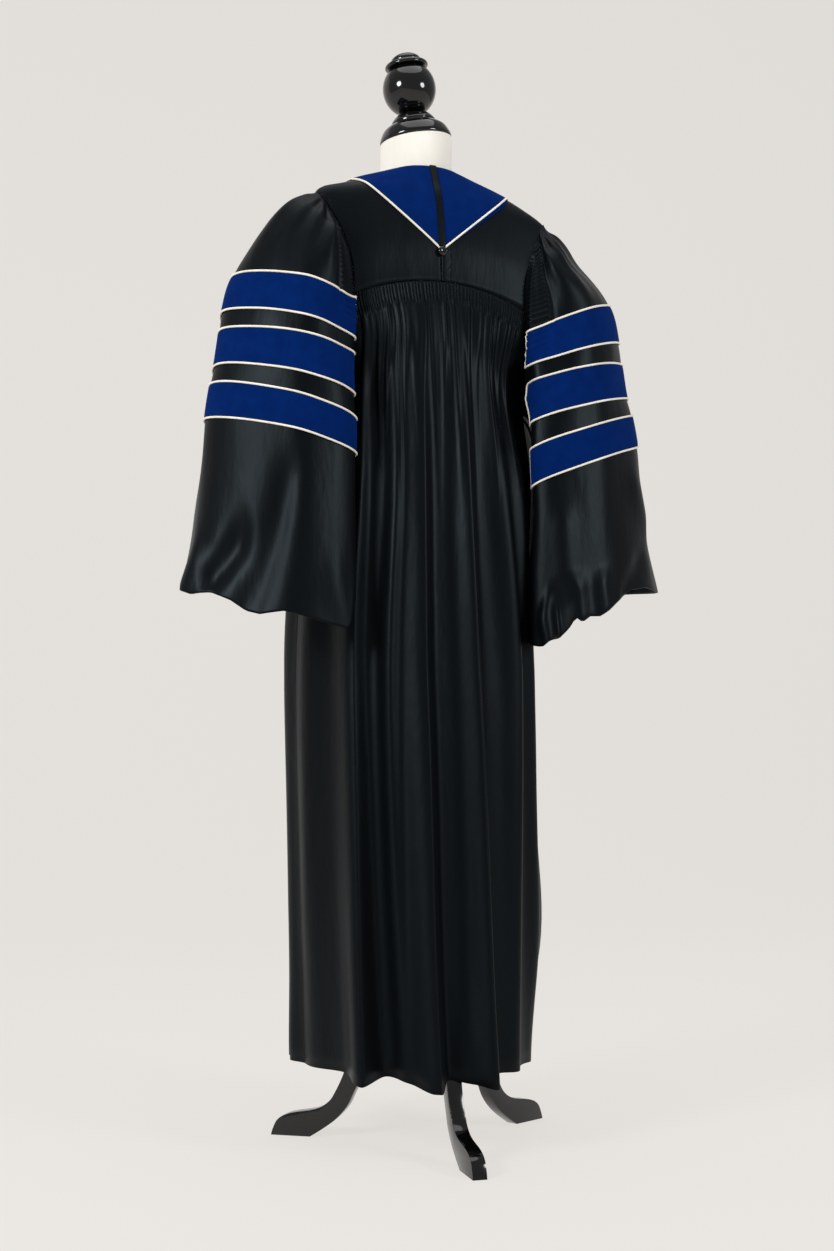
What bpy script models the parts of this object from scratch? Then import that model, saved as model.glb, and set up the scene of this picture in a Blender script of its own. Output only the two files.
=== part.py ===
"""A doctoral graduation gown standing on a limbless dress form with a turned cap and a tripod.

Metres, +Z up. +X is the wearer's left, -Y the front, and the origin is on the floor below the
middle of the whole. Each cut piece of cloth is a thin wall laid over one of two surfaces, the
gown's body and its sleeve, and what is sewn on it is laid on the same surface a little higher.
"""

import math

import bmesh
import bpy
from mathutils import Matrix, Vector

# Cloth and trim
WALL = 0.0016
VELVET_WALL = 0.0012
SEAM_GAP = 0.0003
CORD_RADIUS = 0.0012
STRAP_WIDTH = 0.010
STRAP_WALL = 0.0010
BUTTON_RADIUS = 0.0065
BUTTON_THICK = 0.0035
BUTTON_LIFT = 0.0084

# Velvet on the neck and down the fronts
FRONT_VELVET = 0.112
COLLAR_END = 0.124
POINT_HEIGHT = 1.274
POINT_RISE = 0.83

# Armhole, as x on the gown's body
ARMHOLE_UNDER = 0.150
ARMHOLE_TIP = 0.177
ARMHOLE_SCOOP = 0.032
# Shares of the armhole's height at which its seam has a corner
ARMHOLE_SHARES = (0, 0.07, 0.13, 1 / 3, 0.46, 0.62, 0.80, 0.85, 0.90, 0.95, 1)
UNDERARM_LEVEL = 4.0
YOKE_LEVEL = 5.0
TIP_LEVEL = 7.0
COLLAR_LEVEL = 8.0
NECK_LEVEL = 9.0
ANGLE_STEP = 0.02
LEVEL_STEP = 0.005

# Dress form and stand
NECK_CENTRE = (0.0, -0.057)
NECK_FOOT = 1.400
RIM_HEIGHT = 1.462
LEAN = math.radians(7.8)
POLE_RADIUS = 0.0125
HUB_RADIUS = 0.026
HUB_BOTTOM = 0.186
HUB_TOP = 0.250
HUB_EDGE = 0.004
FORM_BOTTOM = 0.66
LEG_THICK = 0.020
LEG_HEADINGS = {"back": 5.2, "left": 125.2, "right": -114.8}

BLACK_CLOTH = ((0.011, 0.012, 0.016), 0.42, 0.0)
BLUE_VELVET = ((0.004, 0.016, 0.105), 0.85, 0.0)
CREAM_CORD = ((0.72, 0.66, 0.52), 0.55, 0.0)
CREAM_LINEN = ((0.82, 0.76, 0.65), 0.80, 0.0)
BLACK_LACQUER = ((0.008, 0.008, 0.009), 0.14, 0.0)

# The gown's body: one row for each level ring, from the hem up to the neckline. Heights are at
# centre back, side and centre front; square is the ring's superellipse power.
BODY_COLUMNS = (
    "z_back", "z_side", "z_front", "half_width", "y_back", "y_side", "y_front", "square",
)
BODY_RINGS = (
    (0.101, 0.116, 0.104, 0.165, 0.136, -0.062, -0.232, 2.1),
    (0.370, 0.370, 0.370, 0.171, 0.104, -0.064, -0.228, 2.1),
    (0.680, 0.680, 0.680, 0.174, 0.082, -0.066, -0.220, 2.2),
    (0.930, 0.930, 0.930, 0.160, 0.074, -0.055, -0.202, 2.3),
    (1.130, 1.085, 1.110, 0.150, 0.062, -0.035, -0.178, 1.7),
    (1.231, 1.181, 1.200, 0.172, 0.046, -0.015, -0.160, 4.5),
    (1.290, 1.262, 1.258, 0.178, 0.043, -0.003, -0.146, 4.0),
    (1.350, 1.337, 1.300, 0.177, 0.031, 0.012, -0.134, 3.0),
    (1.382, 1.379, 1.315, 0.122, 0.018, -0.016, -0.128, 2.6),
    (1.405, 1.395, 1.330, 0.066, 0.007, -0.036, -0.124, 2.2),
)

# Soft folds of the back panel: degrees from centre back at yoke, hip and hem, half width in
# degrees, and how far each stands out at hip and hem.
FOLD_COLUMNS = ("yoke", "hip", "hem", "width", "hip_depth", "hem_depth")
BACK_FOLDS = (
    (72, 76, 80, 8, 0.007, 0.012),
    (44, 47, 53, 6, 0.012, 0.022),
    (29, 30, 37, 6, 0.011, 0.014),
    (13, 13.5, 11, 7, 0.013, 0.026),
    (-8, -10, -10, 7, 0.013, 0.024),
    (-24, -34, -31, 8, 0.012, 0.018),
    (-42, -52, -54, 7, 0.010, 0.011),
    (-66, -75, -79, 8, 0.007, -0.004),
)
FRONT_FOLDS = (
    (104, 103, 102, 8, 0.008, 0.015),
    (118, 119, 121, 7, 0.009, 0.017),
    (132, 133, 136, 6, 0.007, 0.011),
)
GATHER_PITCH = 6.4
GATHER_DEPTH = 0.0030
GATHER_REACH = 49.0

# The sleeve: one row for each level line. Rows down to the underarm start and end on the armhole,
# at the share of its height given; the others close under the arm at the inner point.
SLEEVE_COLUMNS = (
    "armhole", "outer_x", "outer_z", "inner_x", "inner_z", "back_x", "back_y", "front_x", "front_y",
)
SLEEVE_ROWS = (
    (0.80, 0.1775, 1.3370, 0.150, 1.285, 0.158, 0.030, 0.162, -0.106),
    (0.62, 0.2140, 1.3360, 0.150, 1.270, 0.150, 0.054, 0.163, -0.155),
    (0.46, 0.2530, 1.2900, 0.150, 1.235, 0.145, 0.065, 0.158, -0.154),
    (1 / 3, 0.2855, 1.2270, 0.150, 1.192, 0.141, 0.070, 0.158, -0.160),
    (0.13, 0.2990, 1.1760, 0.150, 1.135, 0.139, 0.073, 0.162, -0.162),
    (0.07, 0.3030, 1.1500, 0.150, 1.113, 0.140, 0.074, 0.165, -0.162),
    (0.00, 0.3070, 1.1250, 0.150, 1.085, 0.140, 0.074, 0.168, -0.161),
    (None, 0.3110, 1.1000, 0.172, 1.055, 0.138, 0.075, 0.172, -0.160),
    (None, 0.3160, 1.0750, 0.182, 1.020, 0.135, 0.075, 0.176, -0.159),
    (None, 0.3250, 1.0260, 0.190, 0.971, 0.135, 0.076, 0.180, -0.158),
    (None, 0.3340, 0.9500, 0.193, 0.898, 0.136, 0.078, 0.183, -0.158),
    (None, 0.3460, 0.8650, 0.197, 0.812, 0.137, 0.081, 0.186, -0.160),
    (None, 0.3580, 0.7920, 0.201, 0.733, 0.138, 0.085, 0.189, -0.164),
)
UNDERARM_ROW = 6
CUFF_ROW = len(SLEEVE_ROWS) - 1
SLEEVE_OUT_Y = -0.022
SLEEVE_SEAM = 0.0012
CUFF_LIFT_INNER = 0.034
CUFF_LIFT_FRONT = 0.040
RIGHT_SLANT = 0.75
RIGHT_CAP_SAG = 0.009
RIGHT_CUFF_TILT = 0.018
SLEEVE_STEPS = 18
# Level rows at which each velvet bar starts and ends, and its first and last column
BARS = {"upper": (3, 4, 1), "middle": (5, 7, 2), "lower": (8, 9, 2)}
# Soft folds of the sleeve: place round it from back to front, width, height at cap and cuff
SLEEVE_FOLDS = (
    (0.20, 0.035, 0.002, 0.010),
    (0.32, 0.040, 0.004, 0.012),
    (0.45, 0.040, 0.004, 0.010),
    (0.58, 0.045, 0.004, 0.012),
    (0.72, 0.040, 0.003, 0.012),
    (0.85, 0.035, 0.002, 0.010),
)

# The dress form: height, half width, half depth and middle of each section
FORM_SECTIONS = (
    (0.660, 0.110, 0.076, -0.030),
    (0.672, 0.122, 0.086, -0.032),
    (0.740, 0.140, 0.098, -0.040),
    (0.820, 0.142, 0.098, -0.045),
    (0.950, 0.112, 0.080, -0.048),
    (1.080, 0.136, 0.092, -0.050),
    (1.160, 0.142, 0.090, -0.048),
    (1.220, 0.146, 0.076, -0.042),
    (1.270, 0.150, 0.060, -0.032),
    (1.308, 0.146, 0.046, -0.024),
    (1.332, 0.118, 0.042, -0.028),
    (1.352, 0.084, 0.044, -0.038),
    (1.374, 0.062, 0.049, -0.050),
    (1.400, 0.0535, 0.0525, -0.057),
    (1.462, 0.0525, 0.0525, -0.057),
)
FORM_STEPS = 24

# Turned profiles, as radius and height along their own axis
CAP_PROFILE = (
    (0.0, 0.0003), (0.0515, 0.0003), (0.0530, 0.003), (0.0520, 0.008), (0.0465, 0.018),
    (0.0380, 0.0245), (0.0330, 0.0265), (0.0325, 0.030), (0.0280, 0.036), (0.0240, 0.0395),
    (0.0, 0.0395),
)
BALL_RADIUS = 0.0392
BALL_MIDDLE = 0.0775
KNOB_PROFILE = (
    (0.0, 0.1075), (0.0265, 0.1075), (0.0310, 0.1090), (0.0315, 0.1120), (0.0290, 0.1150),
    (0.0225, 0.1165), (0.0220, 0.1190), (0.0205, 0.1225), (0.0150, 0.1265), (0.0070, 0.1290),
    (0.0, 0.1295),
)
TURN_STEPS = 20

# One leg's outline in its own upright plane, as distance from the pole and height
LEG_OUTLINE = (
    (0.0263, 0.242), (0.060, 0.232), (0.088, 0.208), (0.108, 0.170), (0.119, 0.130),
    (0.126, 0.100), (0.132, 0.084), (0.140, 0.068), (0.150, 0.053), (0.170, 0.041),
    (0.210, 0.033), (0.228, 0.024), (0.236, 0.010), (0.239, 0.0), (0.179, 0.0), (0.160, 0.012),
    (0.140, 0.027), (0.123, 0.046), (0.113, 0.066), (0.104, 0.085), (0.098, 0.102),
    (0.091, 0.130), (0.080, 0.158), (0.058, 0.181), (0.0263, 0.194),
)
LEG_EDGE = 0.0016


def finish(name, look):
    """A material of the part's own colour, roughness and metallic value."""
    colour, roughness, metallic = look
    made = bpy.data.materials.new(name)
    made.use_nodes = True
    shader = made.node_tree.nodes["Principled BSDF"]
    shader.inputs["Base Color"].default_value = (*colour, 1)
    shader.inputs["Roughness"].default_value = roughness
    shader.inputs["Metallic"].default_value = metallic
    return made


def add(name, mesh_or_curve, material):
    """A named object in the scene."""
    made = bpy.data.objects.new(name, mesh_or_curve)
    mesh_or_curve.materials.append(material)
    bpy.context.scene.collection.objects.link(made)
    return made


def add_mesh(name, bm, material, smooth_below=35):
    """The bmesh as a named object, shaded smooth where it is round."""
    mesh = bpy.data.meshes.new(name)
    bm.to_mesh(mesh)
    bm.free()
    mesh.shade_smooth()
    mesh.set_sharp_from_angle(angle=math.radians(smooth_below))
    return add(name, mesh, material)


def smooth(low, high, value):
    """0 below low, 1 above high, and an easy curve between them. low may be the larger."""
    share = min(max((value - low) / (high - low), 0.0), 1.0)
    return share * share * (3 - 2 * share)


def through(before, start, end, after, share):
    """The Catmull-Rom curve from start to end."""
    return (
        start
        + (end - before) * (0.5 * share)
        + (before * 2 - start * 5 + end * 4 - after) * (0.5 * share * share)
        + (start * 3 - before - end * 3 + after) * (0.5 * share**3)
    )


def along(values, place):
    """The smooth curve through a list of numbers or vectors, at a place counted in its steps."""
    last = len(values) - 1
    first = min(int(place), last - 1)
    start, end = values[first], values[first + 1]
    before = values[first - 1] if first else start * 2 - end
    after = values[first + 2] if first + 2 <= last else end * 2 - start
    return through(before, start, end, after, place - first)


BODY = {name: [row[i] for row in BODY_RINGS] for i, name in enumerate(BODY_COLUMNS)}
SLEEVE = {name: [row[i] for row in SLEEVE_ROWS] for i, name in enumerate(SLEEVE_COLUMNS)}


def fold_height(folds, angle, level):
    """How far the broad folds stand out here."""
    total = 0.0
    for row in folds:
        fold = dict(zip(FOLD_COLUMNS, row))
        if level > 2:
            share = (level - 2) / 3
            middle = fold["hip"] + (fold["yoke"] - fold["hip"]) * share
            height = fold["hip_depth"] * smooth(4.6, 2.4, level)
        else:
            share = (2 - level) / 2
            middle = fold["hip"] + (fold["hem"] - fold["hip"]) * share
            height = fold["hip_depth"] + (fold["hem_depth"] - fold["hip_depth"]) * share
        total += height * math.exp(-(((angle - middle) / fold["width"]) ** 2))
    return total


def gather_height(angle, level):
    """The small gathers just under the yoke seam."""
    start = smooth(YOKE_LEVEL, YOKE_LEVEL - 0.12, level)
    end = smooth(2.6, 4.5, level)
    edge = smooth(GATHER_REACH, GATHER_REACH - 5, abs(angle))
    wave = 0.5 + 0.5 * math.cos(2 * math.pi * angle / GATHER_PITCH)
    return GATHER_DEPTH * wave * start * end * edge


def body(angle, level):
    """A point of the gown's body: angle 0 is centre back, 180 centre front, + to the left."""
    side = math.copysign(1.0, angle)
    middle = "back" if abs(angle) <= 90 else "front"
    half, square, y_side, z_side, y_middle, z_middle = (
        along(BODY[name], level)
        for name in ("half_width", "square", "y_side", "z_side", "y_" + middle, "z_" + middle)
    )
    reach = min(math.sin(math.radians(abs(angle))), 1.0)
    depth = max(1 - reach**square, 0.0) ** (1 / square)
    point = Vector((reach * half * side, y_side + (y_middle - y_side) * depth,
                    z_middle + (z_side - z_middle) * reach**2))
    out = Vector((side * reach ** (square - 1) / half,
                  depth ** (square - 1) / (y_middle - y_side), 0)).normalized()
    if middle == "back":
        height = fold_height(BACK_FOLDS, angle, level) + gather_height(angle, level)
    else:
        height = fold_height(FRONT_FOLDS, abs(angle), level)
    return point + out * height


def angle_at(x, level, front=False):
    """The angle at which the body's ring reaches this x."""
    angle = math.degrees(math.asin(min(x / along(BODY["half_width"], level), 1.0)))
    return 180 - angle if front else angle


def armhole_angle(share, front=False):
    """The armhole's angle on the body at a share of its height, 0 underarm and 1 at the tip."""
    x = ARMHOLE_UNDER + (ARMHOLE_TIP - ARMHOLE_UNDER) * share
    x -= ARMHOLE_SCOOP * 4 * share * (1 - share)
    return angle_at(x, armhole_level(share), front)


def armhole_level(share):
    return UNDERARM_LEVEL + (TIP_LEVEL - UNDERARM_LEVEL) * share


def armhole(share, front=False):
    """A point of the left armhole's seam, which runs straight between its corners."""
    after = next(i for i, corner in enumerate(ARMHOLE_SHARES) if corner >= share - 1e-9)
    before = max(after - 1, 0)
    low, high = ARMHOLE_SHARES[before], ARMHOLE_SHARES[max(after, 1)]
    start, end = (
        body(armhole_angle(corner, front), armhole_level(corner)) for corner in (low, high)
    )
    return start.lerp(end, (share - low) / (high - low))


def body_edge(level, front=False):
    """The angle at which a panel ends at this level: side seam, armhole or shoulder seam."""
    if UNDERARM_LEVEL < level < TIP_LEVEL:
        share = (level - UNDERARM_LEVEL) / (TIP_LEVEL - UNDERARM_LEVEL)
        return armhole_angle(share, front)
    return 90.0


def body_normal(angle, level):
    """The body's outward direction, read a little inside its edges."""
    angle = math.copysign(min(max(abs(angle), ANGLE_STEP), 180 - ANGLE_STEP), angle)
    level = min(max(level, LEVEL_STEP), NECK_LEVEL - LEVEL_STEP)
    across = body(angle + ANGLE_STEP, level) - body(angle - ANGLE_STEP, level)
    up = body(angle, level + LEVEL_STEP) - body(angle, level - LEVEL_STEP)
    return up.cross(across).normalized()


def wall(name, point, normal, columns, rows, material, lift=0.0, thick=WALL):
    """A closed thin wall. point and normal take a column and a row, each from 0 to 1."""
    bm = bmesh.new()
    bmesh.ops.create_grid(bm, x_segments=columns, y_segments=rows, size=0.5)
    shell = bmesh.ops.extrude_face_region(bm, geom=bm.faces[:], use_keep_orig=True)["geom"]
    inner = {item for item in shell if isinstance(item, bmesh.types.BMVert)}
    for vert in bm.verts:
        column, row = vert.co.x + 0.5, vert.co.y + 0.5
        height = lift - thick if vert in inner else lift
        vert.co = point(column, row) + normal(column, row) * height
    if bm.calc_volume(signed=True) < 0:
        bmesh.ops.reverse_faces(bm, faces=bm.faces[:])
    return add_mesh(name, bm, material)


def body_wall(name, place, columns, rows, material, side=1, lift=0.0, thick=WALL):
    """A wall on the gown's body. place gives the angle and the level of a column and a row."""

    def point(column, row):
        angle, level = place(column, row)
        return body(max(angle, 1e-6) * side, level)

    def normal(column, row):
        angle, level = place(column, row)
        return body_normal(angle * side, level)

    return wall(name, point, normal, columns, rows, material, lift, thick)


def spaced(values, share):
    """Reads a list at a share of its length, with straight lines between its values."""
    place = share * (len(values) - 1)
    first = min(int(place + 1e-9), len(values) - 2)
    return values[first] + (values[first + 1] - values[first]) * (place - first)


def seam_angle(level, reach=SEAM_GAP / 2):
    """Half a seam's gap at this level, in degrees."""
    return math.degrees(reach / along(BODY["half_width"], level))


def sleeve_points(row):
    """Seven points round the left sleeve at a row, from the back of its seam to the front."""
    value = {name: along(SLEEVE[name], row) for name in SLEEVE_COLUMNS[1:]}
    if row <= UNDERARM_ROW:
        share = spaced(SLEEVE["armhole"][: UNDERARM_ROW + 1], row / UNDERARM_ROW)
        start, end = armhole(share), armhole(share, front=True)
    else:
        start = end = Vector((value["inner_x"], BODY["y_side"][4], value["inner_z"]))
    mid_x = (value["back_x"] + value["outer_x"]) / 2
    rise = value["outer_z"] - value["inner_z"]
    bulge = 0.010 * smooth(0, 3, row)
    low = smooth(7, CUFF_ROW, row)
    lift = Vector((0, 0, CUFF_LIFT_FRONT * low))
    start, end = (spot + Vector((0, 0, CUFF_LIFT_INNER * low)) for spot in (start, end))
    return [
        start,
        Vector((value["back_x"], value["back_y"] - bulge, value["inner_z"] + rise * 0.05)),
        Vector((mid_x, value["back_y"] + bulge * 0.6, value["inner_z"] + rise * 0.55)),
        Vector((value["outer_x"], SLEEVE_OUT_Y * smooth(0, 3, row), value["outer_z"])),
        lift + Vector((mid_x + 0.012, value["front_y"] - bulge * 0.6,
                       value["inner_z"] + rise * 0.55)),
        lift + Vector((value["front_x"], value["front_y"] + bulge, value["inner_z"] + rise * 0.05)),
        end,
    ]


def sleeve_net(u, row):
    """The smooth surface through the sleeve's points; u is 0 at the back of the seam."""
    points = sleeve_points(row)
    place = u * 6
    if row <= UNDERARM_ROW:
        return along(points, place)
    first = min(int(place), 5)
    before = points[first - 1] if first else points[5]
    after = points[first + 2] if first < 5 else points[1]
    return through(before, points[first], points[first + 1], after, place - first)


def sleeve_fold(u, row):
    total = 0.0
    for middle, width, cap_height, cuff_height in SLEEVE_FOLDS:
        height = cap_height * smooth(0, 1, row) * smooth(4, 2, row)
        height += cuff_height * smooth(8, CUFF_ROW, row)
        total += height * math.exp(-(((u - middle) / width) ** 2))
    return total


def sleeve_smooth(u, row):
    """The sleeve without folds. Its first row lies on the top of the armhole."""
    point = sleeve_net(u, row)
    if row < 1:
        top = SLEEVE["armhole"][0]
        share = 1 - (1 - top) * abs(2 * u - 1)
        seam = armhole(share, front=u > 0.5)
        point += (seam - sleeve_net(u, 0)) * (1 - row) ** 2
    return point + Vector((0.0006, 0, 0))


def sleeve_normal(u, row):
    u = min(max(u, 0.004), 0.996)
    row = min(max(row, 0.02), CUFF_ROW - 0.02)
    across = sleeve_smooth(u + 0.004, row) - sleeve_smooth(u - 0.004, row)
    down = sleeve_smooth(u, row + 0.02) - sleeve_smooth(u, row - 0.02)
    return across.cross(down).normalized()


def sleeve(u, row):
    return sleeve_smooth(u, row) + sleeve_normal(u, row) * sleeve_fold(u, row)


def on_sleeve(u, row, side, lift=0.0):
    """A point of either sleeve, lift above it. The right one's rows slant more, its cap sags and
    its cuff tilts."""
    if side > 0:
        return sleeve(u, row) + sleeve_normal(u, row) * lift
    row += RIGHT_SLANT * (abs(2 * u - 1) - 0.25) * smooth(0, 3, row) * smooth(CUFF_ROW, 8, row)
    point = sleeve(u, row) + sleeve_normal(u, row) * lift
    sag = RIGHT_CAP_SAG * smooth(0, 1.2, row) * smooth(3.2, 2, row) * (1 - abs(2 * u - 1))
    tilt = RIGHT_CUFF_TILT * smooth(8, CUFF_ROW, row) * (abs(2 * u - 1) * -2 + 1)
    return Vector((-point.x + sag, point.y, point.z - sag + tilt))


def sleeve_wall(name, place, columns, rows, material, side, lift=0.0, thick=WALL):
    """A wall on a sleeve. place gives u and the level row of a column and a row."""

    def point(column, row):
        return on_sleeve(*place(column, row), side)

    def normal(column, row):
        return on_sleeve(*place(column, row), side, 1.0) - point(column, row)

    return wall(name, point, normal, columns, rows, material, lift, thick)


def cord(name, points, material, closed=False):
    """Round piping through the points."""
    curve = bpy.data.curves.new(name, "CURVE")
    curve.dimensions = "3D"
    curve.bevel_depth = CORD_RADIUS
    curve.bevel_resolution = 0
    curve.use_fill_caps = True
    line = curve.splines.new("POLY")
    line.points.add(len(points) - 1)
    for spot, point in zip(line.points, points):
        spot.co = (*point, 1)
    line.use_cyclic_u = closed
    return add(name, curve, material)


def loft(bm, rings):
    """Joins rings of equal count with faces and closes both ends."""
    loops = []
    for ring in rings:
        made = bmesh.ops.create_circle(bm, cap_ends=False, segments=len(ring), radius=1.0)["verts"]
        for vert, point in zip(made, ring):
            vert.co = point
        loops.append(list({edge for vert in made for edge in vert.link_edges}))
    for first, second in zip(loops, loops[1:]):
        bmesh.ops.bridge_loops(bm, edges=first + second)
    for end in (loops[0], loops[-1]):
        bmesh.ops.contextual_create(bm, geom=end)
    bmesh.ops.recalc_face_normals(bm, faces=bm.faces[:])


def turned(name, profile, material, place):
    """A turned piece from a profile of radius and height."""
    bm = bmesh.new()
    verts = [bm.verts.new((radius, 0, height)) for radius, height in profile]
    edges = [bm.edges.new(pair) for pair in zip(verts, verts[1:])]
    bmesh.ops.spin(bm, geom=verts + edges, cent=(0, 0, 0), axis=(0, 0, 1),
                   angle=2 * math.pi, steps=TURN_STEPS, use_merge=True)
    bmesh.ops.remove_doubles(bm, verts=bm.verts[:], dist=1e-6)
    bmesh.ops.recalc_face_normals(bm, faces=bm.faces[:])
    bmesh.ops.transform(bm, matrix=place, verts=bm.verts[:])
    return add_mesh(name, bm, material)


ARMHOLE_LEVELS = tuple(armhole_level(share) for share in ARMHOLE_SHARES)


def blend(bottom, top, left, right, column, row):
    """A patch of angles and levels between four edges."""
    corners = (
        (bottom(0), (1 - column) * (1 - row)), (bottom(1), column * (1 - row)),
        (top(0), (1 - column) * row), (top(1), column * row),
    )
    return [
        bottom(column)[i] * (1 - row) + top(column)[i] * row
        + left(row)[i] * (1 - column) + right(row)[i] * column
        - sum(corner[i] * weight for corner, weight in corners)
        for i in range(2)
    ]


def velvet_edge(x):
    """Angle and level of the neck velvet's edge on the back, at this x."""
    height = POINT_HEIGHT + POINT_RISE * x
    low, high = YOKE_LEVEL, COLLAR_LEVEL + 0.2
    for _ in range(40):
        level = (low + high) / 2
        if x < along(BODY["half_width"], level) and body(angle_at(x, level), level).z < height:
            low = level
        else:
            high = level
    return angle_at(x, low), low


YOKE_COLUMNS = 7
POINT_LINE = [velvet_edge(COLLAR_END * step / YOKE_COLUMNS) for step in range(YOKE_COLUMNS)]
POINT_LINE.append((90.0, COLLAR_LEVEL))
YOKE_SIDE = (YOKE_LEVEL, *ARMHOLE_LEVELS[4:], 7.5, COLLAR_LEVEL)
VELVET_ROWS = 4


def point_line(share):
    return [spaced([spot[i] for spot in POINT_LINE], share) for i in range(2)]


def yoke_place(column, row):
    """Angle and level on the left yoke. Its first rows end at the velvet's edge, row 1."""
    if row > 1:
        angle, level = point_line(column)
        return (angle + (90 * column - angle) * (row - 1),
                level + (NECK_LEVEL - level) * (row - 1))

    def bottom(share):
        return body_edge(YOKE_LEVEL) * share, YOKE_LEVEL

    def left(share):
        return 0.0, YOKE_LEVEL + (POINT_LINE[0][1] - YOKE_LEVEL) * share

    def right(share):
        level = spaced(YOKE_SIDE, share)
        return body_edge(level), level

    return blend(bottom, point_line, left, right, column, row)


def trimmed(angle, level, low, high):
    """Keeps half a seam's gap inside the angles that bound a panel."""
    gap = seam_angle(level)
    return min(max(angle, low + gap), high - gap), level


def make_yoke(cloth):
    lower_rows = len(YOKE_SIDE) - 1

    def place(column, row):
        share = row * (lower_rows + VELVET_ROWS)
        share = share / lower_rows if share < lower_rows else 1 + (share - lower_rows) / VELVET_ROWS
        angle, level = yoke_place(column, share)
        level += 0.004 * (row < 1e-6)
        return trimmed(angle, level, 0, body_edge(level))

    for side, label in ((1, "left"), (-1, "right")):
        body_wall(f"yoke_{label}", place, YOKE_COLUMNS, lower_rows + VELVET_ROWS, cloth, side)


def make_back(cloth):
    """The back panel, gathered into the yoke seam."""
    rows = (0, 0.8, 1.6, 2.4, 3.2, *ARMHOLE_LEVELS[:3], 4.7, 4.9, YOKE_LEVEL)
    side_steps, gathered_steps = 5, 40

    def place(column, row):
        level = spaced(rows, row)
        level -= 0.004 * (row > 1 - 1e-6)
        edge = body_edge(level) - seam_angle(level)
        inner = min(edge, GATHER_REACH) - 1 + max(edge - GATHER_REACH, 0) * 0.15
        spot = column * (2 * side_steps + gathered_steps)
        if spot < side_steps:
            return -edge + (edge - inner) * spot / side_steps, level
        if spot > side_steps + gathered_steps:
            share = (spot - side_steps - gathered_steps) / side_steps
            return inner + (edge - inner) * share, level
        return inner * (2 * (spot - side_steps) / gathered_steps - 1), level

    def point(column, row):
        return body(*place(column, row))

    def normal(column, row):
        return body_normal(*place(column, row))

    wall("back_panel", point, normal, 2 * side_steps + gathered_steps, len(rows) - 1, cloth)


# Rows of the fronts: levels at the panel's outer edge, at the velvet's edge and at the inner
# edge, and the inner edge's angle, which turns along the neckline to the shoulder seam
FRONT_ROWS = (
    (0.0, 0.0, 0.0, 180), (0.8, 0.8, 0.8, 180), (1.6, 1.6, 1.6, 180), (2.4, 2.4, 2.4, 180),
    (3.2, 3.2, 3.2, 180), (4.0, 4.0, 4.1, 180), (4.21, 4.4, 4.8, 180), (4.39, 4.8, 5.5, 180),
    (5.0, 5.4, 6.6, 180), (5.38, 5.9, 7.8, 180), (5.86, 6.4, 9.0, 180), (6.4, 6.9, 9.0, 154),
    (6.55, 7.2, 9.0, 138), (6.7, 7.45, 9.0, 125), (6.85, 7.7, 9.0, 112), (7.0, 8.0, 9.0, 90),
)
PLAIN_STEPS, VELVET_STEPS = 8, 4


def front_place(column, row):
    """Angle and level on the left front. Column 0 is the outer edge and 1 the velvet's edge."""
    edge, velvet, inner, inner_angle = (
        spaced([line[i] for line in FRONT_ROWS], row) for i in range(4)
    )
    x = FRONT_VELVET + (COLLAR_END - FRONT_VELVET) * smooth(6, COLLAR_LEVEL, velvet)
    velvet_angle = max(angle_at(x, velvet, front=True), 90.0)
    if column < 1:
        outer_angle = body_edge(edge, front=True)
        return outer_angle + (velvet_angle - outer_angle) * column, edge + (velvet - edge) * column
    return (velvet_angle + (inner_angle - velvet_angle) * (column - 1),
            velvet + (inner - velvet) * (column - 1))


def make_fronts(cloth):
    def place(column, row):
        spot = column * (PLAIN_STEPS + VELVET_STEPS)
        share = spot / PLAIN_STEPS if spot < PLAIN_STEPS else 1 + (spot - PLAIN_STEPS) / VELVET_STEPS
        angle, level = front_place(share, row)
        return trimmed(angle, level, body_edge(level, front=True), 180)

    for side, label in ((1, "left"), (-1, "right")):
        body_wall(f"front_{label}", place, PLAIN_STEPS + VELVET_STEPS, len(FRONT_ROWS) - 1,
                  cloth, side)


def edge_cord(name, spots, cream, side):
    """Piping just outside an edge given as angles and levels."""
    points = []
    clear = CORD_RADIUS + 8 * SEAM_GAP
    for index, (angle, level) in enumerate(spots):
        here = body(angle, level)
        next_spot = spots[min(index + 1, len(spots) - 1)]
        last_spot = spots[max(index - 1, 0)]
        run = (body(*next_spot) - body(*last_spot)).normalized()
        out = body_normal(angle, level)
        point = here + out * (clear + 3 * SEAM_GAP) + run.cross(out) * clear
        points.append(Vector((point.x * side, point.y, point.z)))
    cord(name, points, cream)


def make_neck_velvet(velvet, cream):
    """The velvet that comes to a point at centre back, in one piece, with its piping."""

    def place(column, row):
        across = 2 * column - 1
        angle, level = yoke_place(abs(across), 1 + row)
        angle = min(angle, 90 - seam_angle(level))
        return math.copysign(angle, across), level

    def point(column, row):
        return body(*place(column, row))

    def normal(column, row):
        return body_normal(*place(column, row))

    wall("velvet_neck", point, normal, 2 * YOKE_COLUMNS, VELVET_ROWS, velvet,
         SEAM_GAP + VELVET_WALL, VELVET_WALL)
    line = [(max(angle, 1.3), level) for angle, level in POINT_LINE[:-1]]
    line.append((POINT_LINE[-1][0] - 0.6, POINT_LINE[-1][1]))
    for side, label in ((1, "left"), (-1, "right")):
        edge_cord(f"piping_neck_{label}", line, cream, side)


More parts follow.
